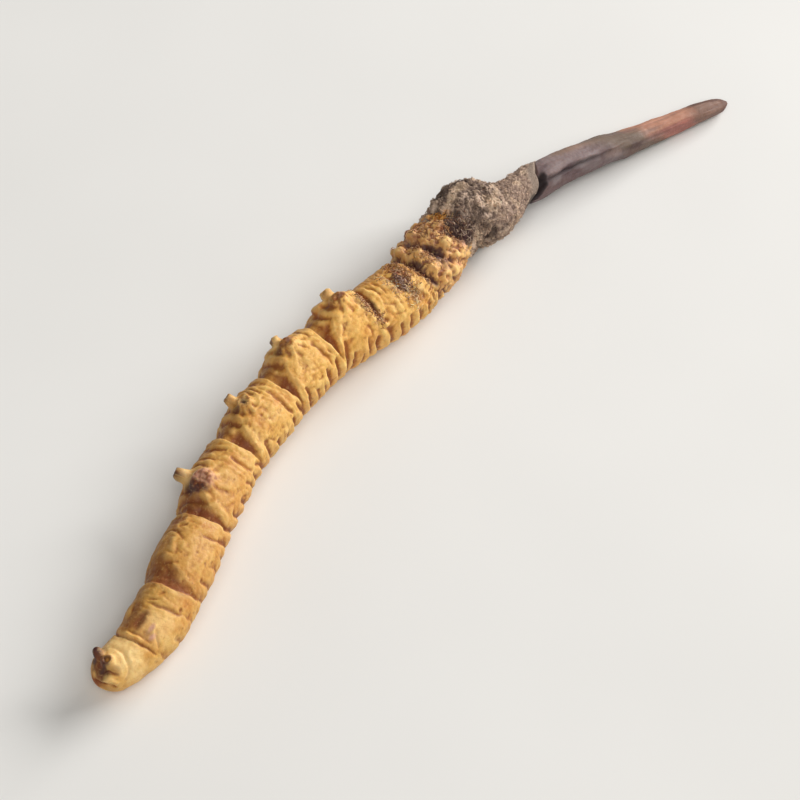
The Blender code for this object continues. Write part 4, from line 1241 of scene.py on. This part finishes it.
def make_threads(name, points, place, degrees, ground, patches, material):
    """Thin bent threads that lie on a surface, each a closed tube with pointed ends that sink in.

    Those without colours of their own take the ground's.
    """
    source = np.random.RandomState(31)
    outs = grid_normals(points)
    chosen, lengths, lifts, tints = [], [], [], []
    for u, angle, half_length, half_width, count, length, lift, colours in patches:
        row = np.interp(u + half_length * source.normal(0.0, 0.6, count), place[:, 0], np.arange(len(place)))
        turned = angle + np.degrees(half_width * source.normal(0.0, 0.6, count) / 2.3)
        side = [int(np.argmin(np.abs(turn_between(degrees[0], value)))) for value in turned]
        row = row.astype(int)
        chosen.append(np.stack((row, side), axis=-1))
        lengths.append(length * source.uniform(0.5, 1.4, count))
        lifts.append(lift * source.uniform(0.0, 1.0, count) ** 2)
        picked = linear(colours)[source.randint(0, len(colours), count)] if colours else 1.3 * ground[row, side]
        tints.append(picked * source.uniform(0.6, 1.5, (count, 1)))
    chosen, lengths, lifts, tints = (np.concatenate(parts) for parts in (chosen, lengths, lifts, tints))
    count = len(chosen)
    seats, outs = points[chosen[:, 0], chosen[:, 1]], outs[chosen[:, 0], chosen[:, 1]]
    along = unit(np.cross(outs, source.normal(size=(count, 3))))
    side = np.cross(outs, along)
    share = np.linspace(0.0, 1.0, 5)
    arch = np.sin(math.pi * share)
    bend = 0.25 * lengths * source.normal(size=count)
    path = seats[:, None] + along[:, None] * (lengths[:, None] * (share - 0.5))[..., None]
    path = path + side[:, None] * (bend[:, None] * arch)[..., None]
    path = path + outs[:, None] * ((lifts + 0.06)[:, None] * arch - 0.05)[..., None]
    thickness = 0.028 * source.uniform(0.6, 1.3, count)
    corners = [path[:, 0], path[:, -1]]
    for station, swell in zip((1, 2, 3), (0.85, 1.0, 0.7)):
        for turn in (0.5, 2.6, 4.7):
            spoke = side * math.cos(turn) + outs * math.sin(turn)
            corners.append(path[:, station] + spoke * (swell * thickness)[:, None])
    corners = np.stack(corners, axis=1).reshape(-1, 3)
    pattern = []
    for k in range(3):
        after = (k + 1) % 3
        pattern += [(0, 2 + after, 2 + k), (1, 8 + k, 8 + after)]
        pattern += [(2 + k, 2 + after, 5 + after, 5 + k), (5 + k, 5 + after, 8 + after, 8 + k)]
    faces = [tuple(11 * index + corner for corner in face) for index in range(count) for face in pattern]
    corners[:, 2] = np.maximum(corners[:, 2], 0.0)
    return mesh_object(name, corners * MM, faces, np.repeat(np.clip(tints, 0.0, 1.0), 11, axis=0), material)


def thread_material():
    """Fine dry fungus threads."""
    shader = Shader("threads")
    streak = shader.ranged(shader.noise(0.12, 3.0), 0.35, 0.65, 0.0, 1.0)
    colour = shader.blend("MULTIPLY", streak, shader.tint(), (0.75, 0.7, 0.66, 1.0))
    grain = shader.bump(shader.noise(0.04, 2.0), 0.01, 0.4)
    roughness = shader.ranged(shader.noise(0.3), 0.3, 0.7, 0.75, 0.95)
    return shader.finish(colour, roughness, grain, 0.2)


def crust_material():
    """Felted fungus threads with soil in them: rough, grainy, speckled."""
    shader = Shader("felted_crust")
    dark = shader.ranged(shader.noise(0.16, 4.0, 0.7), 0.5, 0.66, 0.0, 0.5)
    colour = shader.blend("MULTIPLY", dark, shader.tint(), (0.4, 0.35, 0.32, 1.0))
    light = shader.ranged(shader.noise(0.1, 3.0, 0.7, 1.5), 0.58, 0.7, 0.0, 0.5)
    colour = shader.blend("MIX", light, colour, (0.42, 0.345, 0.28, 1.0))
    grain = shader.bump(shader.noise(0.08, 4.0, 0.7), 0.05, 0.8)
    matted = shader.bump(shader.noise(0.25, 4.0, 0.6, 2.0), 0.08, 0.7, grain)
    roughness = shader.ranged(shader.noise(0.2), 0.3, 0.7, 0.8, 1.0)
    return shader.finish(colour, roughness, matted, 0.2)


# The stalk: place, half width, half height, mm
STALK_SECTIONS = (
    (52.4, 0.8, 0.8),
    (53.4, 1.1, 1.05),
    (54.4, 1.3, 1.22),
    (55.4, 1.4, 1.3),
    (56.6, 1.4, 1.3),
    (58.5, 1.26, 1.16),
    (61.0, 1.14, 1.02),
    (63.5, 1.1, 0.94),
    (66.0, 1.0, 0.84),
    (68.5, 0.9, 0.78),
    (70.5, 0.84, 0.76),
    (72.0, 0.74, 0.66),
    (73.0, 0.64, 0.54),
    (73.5, 0.48, 0.4),
    (73.9, 0.2, 0.16),
)
STALK_START = 52.4
STALK_END = 73.9

STALK_MAUVE = (134, 116, 114)
STALK_TAN = (146, 120, 104)
STALK_PLUM = (112, 92, 91)
STALK_OLIVE = (118, 101, 88)
STALK_CLAY = (186, 136, 113)
STALK_WINE = (175, 113, 101)
STALK_RIM = (98, 66, 54)
STALK_DRY = (136, 106, 92)
# Painted shade: the black in the gap at the neck and along the fold under the flap
STALK_SHADE_BLACK = (36, 27, 29)
STALK_GREY = (146, 134, 134)
STALK_INK = (78, 58, 62)

# Patches of colour on the stalk, as the skin's spots
STALK_SPOTS = (
    (STALK_INK, 57.7, -46, 0.9, 0.4, 0.8),
    (STALK_GREY, 56.3, -58, 0.7, 0.4, 0.6),
    # The next grey spot is a painted highlight.
    (STALK_GREY, 59.2, -54, 1.0, 0.35, 0.7),
    (STALK_INK, 55.6, -2, 0.9, 0.3, 0.4),
    (STALK_TAN, 58.3, 26, 1.4, 0.4, 0.7),
    (STALK_INK, 61.6, -46, 0.8, 0.4, 0.5),
    (STALK_TAN, 62.2, -60, 0.9, 0.4, 0.6),
    (STALK_INK, 64.3, -64, 0.8, 0.3, 0.6),
    (STALK_INK, 57.9, -62, 1.2, 1.0, 0.35),
    (STALK_GREY, 60.2, -66, 1.1, 1.0, 0.5),
    (STALK_GREY, 62.2, -82, 1.2, 0.8, 0.45),
)


def make_stalk(material):
    place, degrees = np.meshgrid(
        np.linspace(STALK_START, STALK_END, 460), ring_angles(130, -20.0, 0.3), indexing="ij"
    )
    up, side = np.cos(np.radians(degrees)), np.sin(np.radians(degrees))
    wide, high = table_value(STALK_SECTIONS, place, 1), table_value(STALK_SECTIONS, place, 2)
    radius = wide * high / np.hypot(wide * up, high * side)
    out = ROUTE.across(place, degrees)
    round_stalk = ROUTE.at(place) + out * radius[..., None]
    edge = np.interp(place, (54.7, 55.4, 56.4, 58.6, 60.6, 63.0), (-4.0, -30.0, -40.0, -39.0, -42.0, -40.0))
    edge = edge + 5.0 * NOISE.wave(round_stalk / 1.2)
    from_edge = turn_between(degrees, 0.0) - edge
    start = 54.75 + 0.018 * np.clip(degrees + 10.0, -20.0, 70.0)
    flap_length = smooth_step(start, start + 0.25, place) * (1.0 - smooth_step(61.5, 64.0, place))
    flap = flap_length * smooth_step(-4.0, 4.0, from_edge) * (1.0 - smooth_step(110.0, 150.0, from_edge))
    stretched = np.stack((place / 4.0, up * 1.7, side * 1.7), axis=-1)
    grooves = NOISE.layers(stretched + 12.0, 3)
    shrivel = NOISE.wave(round_stalk / 1.5 + 33.0)
    gap_place = np.interp(degrees, (-100.0, -47.0, 0.0), (53.3, 54.75, 54.8))
    below = smooth_step(-150.0, -120.0, degrees) * (1.0 - smooth_step(-16.0, -2.0, degrees))
    gap = np.exp(-(((place - gap_place) / 0.44) ** 4)) * below
    shade = np.exp(-(((place - gap_place - 0.15) / 0.62) ** 6)) * below
    under = smooth_step(-30.0, -80.0, degrees) * smooth_step(62.0, 57.0, place)
    fold = np.exp(-((from_edge + 7.0) / 9.0) ** 2) * flap_length * (1.0 - smooth_step(59.0, 62.0, place))
    swelling = np.exp(-(((place - 64.2) / 1.2) ** 2)) * smooth_step(10.0, -30.0, degrees)
    lift = 0.2 * flap + 0.2 * radius * grooves + 0.06 * shrivel + 0.02 * ROUGH.layers(round_stalk / 0.35, 2)
    lift = lift - 0.45 * gap - 0.1 * fold + 0.12 * swelling - 0.2 * under
    points = round_stalk + out * lift[..., None]
    points[..., 2] += 0.22 * smooth_step(66.0, 71.5, place)
    points[..., 2] = np.maximum(points[..., 2], 0.0)
    colours = np.broadcast_to(linear(STALK_PLUM), (*place.shape, 3)).copy()
    colours = mixed(colours, STALK_MAUVE, smooth_step(-3.0, 3.0, from_edge))
    colours = mixed(colours, STALK_TAN, 0.8 * smooth_step(57.6, 59.4, place + 0.02 * degrees) * smooth_step(-10.0, 20.0, degrees))
    colours = mixed(colours, STALK_OLIVE, smooth_step(60.0, 62.5, place + 0.02 * degrees))
    reach = place + 0.024 * degrees + 0.5 * NOISE.wave(round_stalk / 1.1 + 8.0)
    clay = smooth_step(63.9, 66.6, reach)
    colours = mixed(colours, STALK_CLAY, clay)
    colours = mixed(colours, STALK_WINE, clay * smooth_step(-30.0, -56.0, degrees))
    colours = mixed(colours, STALK_DRY, smooth_step(69.4, 70.8, place + 0.4 * NOISE.wave(round_stalk / 0.8)))
    rim = smooth_step(69.8, 71.0, place) * np.maximum(smooth_step(0.0, 20.0, degrees), smooth_step(72.8, 73.4, place))
    colours = mixed(colours, STALK_RIM, 0.85 * rim)
    # Painted shade: darker plum where the grooves sink the surface in.
    colours = mixed(colours, STALK_PLUM, 0.45 * np.clip(-grooves * 3.0, 0.0, 1.0))
    colours = spotted(colours, points, place, degrees, radius, STALK_SPOTS)
    # Painted shade: black in the gap under the crust's collar and along the fold just below the flap's edge.
    colours = mixed(colours, STALK_SHADE_BLACK, np.maximum(0.92 * shade, 0.6 * fold))
    return grid_object("stalk_husk", points, colours, material)


def stalk_material():
    """Leathery, shrivelled skin with fine lengthwise lines."""
    shader = Shader("stalk_skin")
    streak = shader.ranged(shader.noise(0.5, 4.0, 0.6), 0.35, 0.65, 0.0, 0.8)
    colour = shader.blend("MULTIPLY", streak, shader.tint(), (0.82, 0.76, 0.74, 1.0))
    grain = shader.bump(shader.noise(0.12, 4.0, 0.6), 0.03, 0.5)
    creased = shader.bump(shader.noise(0.5, 3.0, 0.6, 1.0), 0.06, 0.4, grain)
    roughness = shader.ranged(shader.noise(0.4), 0.3, 0.7, 0.52, 0.7)
    shader.surface.inputs["Subsurface Weight"].default_value = 0.15
    shader.surface.inputs["Subsurface Radius"].default_value = (1.0, 0.4, 0.2)
    shader.surface.inputs["Subsurface Scale"].default_value = 0.5 * MM
    return shader.finish(colour, roughness, creased, 0.3)


# The camera: the picture's plane in the part's frame, mm
VIEW_TARGET = Vector((-5.0, -4.3, 2.4))
VIEW_DISTANCE = 185.0
VIEW_ELEVATION = 52.0
VIEW_HEADING = 40.5
LENS_IN_PIXELS = 2590.0
PICTURE_WIDTH = 800.0
SENSOR_MM = 36.0


def add_camera():
    """The photograph's view: 52 degrees down, from behind the tail and to its right."""
    low, turn = math.radians(VIEW_ELEVATION), math.radians(VIEW_HEADING)
    towards = Vector((-math.cos(low) * math.cos(turn), -math.cos(low) * math.sin(turn), math.sin(low)))
    camera = bpy.data.cameras.new("camera")
    camera.sensor_width = SENSOR_MM
    camera.lens = SENSOR_MM * LENS_IN_PIXELS / PICTURE_WIDTH
    camera.clip_start = 0.01
    camera.clip_end = 10.0
    placed = bpy.data.objects.new("camera", camera)
    placed.location = (VIEW_TARGET + towards * VIEW_DISTANCE) * MM
    placed.rotation_euler = towards.to_track_quat("Z", "Y").to_euler()
    bpy.context.scene.collection.objects.link(placed)
    bpy.context.scene.camera = placed
    return turn


def add_area_light(name, direction, distance, size, watts, colour):
    """A soft rectangular light that shines at the object's middle."""
    light = bpy.data.lights.new(name, "AREA")
    light.shape = "RECTANGLE"
    light.size, light.size_y = size
    light.energy = watts
    light.color = colour
    placed = bpy.data.objects.new(name, light)
    placed.location = direction * distance
    placed.rotation_euler = direction.to_track_quat("Z", "Y").to_euler()
    bpy.context.scene.collection.objects.link(placed)


def towards(turn, degrees, elevation):
    """A direction by its angle round the picture, counted from its right, and its height above the floor."""
    right = Vector((math.sin(turn), -math.cos(turn), 0.0))
    away = Vector((math.cos(turn), math.sin(turn), 0.0))
    angle, rise = math.radians(degrees), math.radians(elevation)
    level = right * math.cos(angle) + away * math.sin(angle)
    return level * math.cos(rise) + Vector((0.0, 0.0, math.sin(rise)))


def add_lights(turn):
    """A low broad window at the picture's upper right, a weaker high light on the viewer's side, and a pale room."""
    add_area_light("window", towards(turn, 36.0, 26.0), 0.6, (0.5, 0.24), 4.9, (1.0, 0.99, 0.98))
    add_area_light("room_light", towards(turn, 268.0, 54.0), 0.7, (0.5, 0.4), 2.15, (1.0, 0.985, 0.955))
    world = bpy.data.worlds.new("room")
    world.use_nodes = True
    background = world.node_tree.nodes["Background"]
    background.inputs["Color"].default_value = (1.0, 0.99, 0.97, 1.0)
    background.inputs["Strength"].default_value = 0.155
    bpy.context.scene.world = world
    bpy.context.scene.view_settings.view_transform = "Standard"


def add_floor():
    """A plain pale surface under the part."""
    half = 0.6
    mesh = bpy.data.meshes.new("floor")
    mesh.from_pydata([(-half, -half, 0), (half, -half, 0), (half, half, 0), (-half, half, 0)], [], [(0, 1, 2, 3)])
    shader = Shader("floor")
    cloud = shader.ranged(shader.noise(30.0, 2.0), 0.3, 0.7, 0.0, 1.0)
    colour = shader.blend("MIX", cloud, (0.80, 0.79, 0.765, 1.0), (0.83, 0.82, 0.795, 1.0))
    roughness = shader.ranged(shader.noise(8.0), 0.3, 0.7, 0.45, 0.55)
    ripple = shader.bump(shader.noise(2.0), 0.01, 0.1)
    mesh.materials.append(shader.finish(colour, roughness, ripple, 0.15))
    floor = bpy.data.objects.new("floor", mesh)
    floor.location.z = -0.00002
    bpy.context.scene.collection.objects.link(floor)


def settle(piece, node):
    """Attaches a piece to the root body and hides the CAD node that it stands for, if one is given."""
    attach(piece, "root")
    if node:
        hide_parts(node)


turn = add_camera()
add_lights(turn)
add_floor()
thread = thread_material()
husk, husk_threads = make_larva(skin_material(), thread)
settle(husk, "larva")
settle(husk_threads, None)
felt, felt_threads = make_crust(crust_material(), thread)
settle(felt, "head_crust")
settle(felt_threads, None)
settle(make_stalk(stalk_material()), "stroma_stalk")
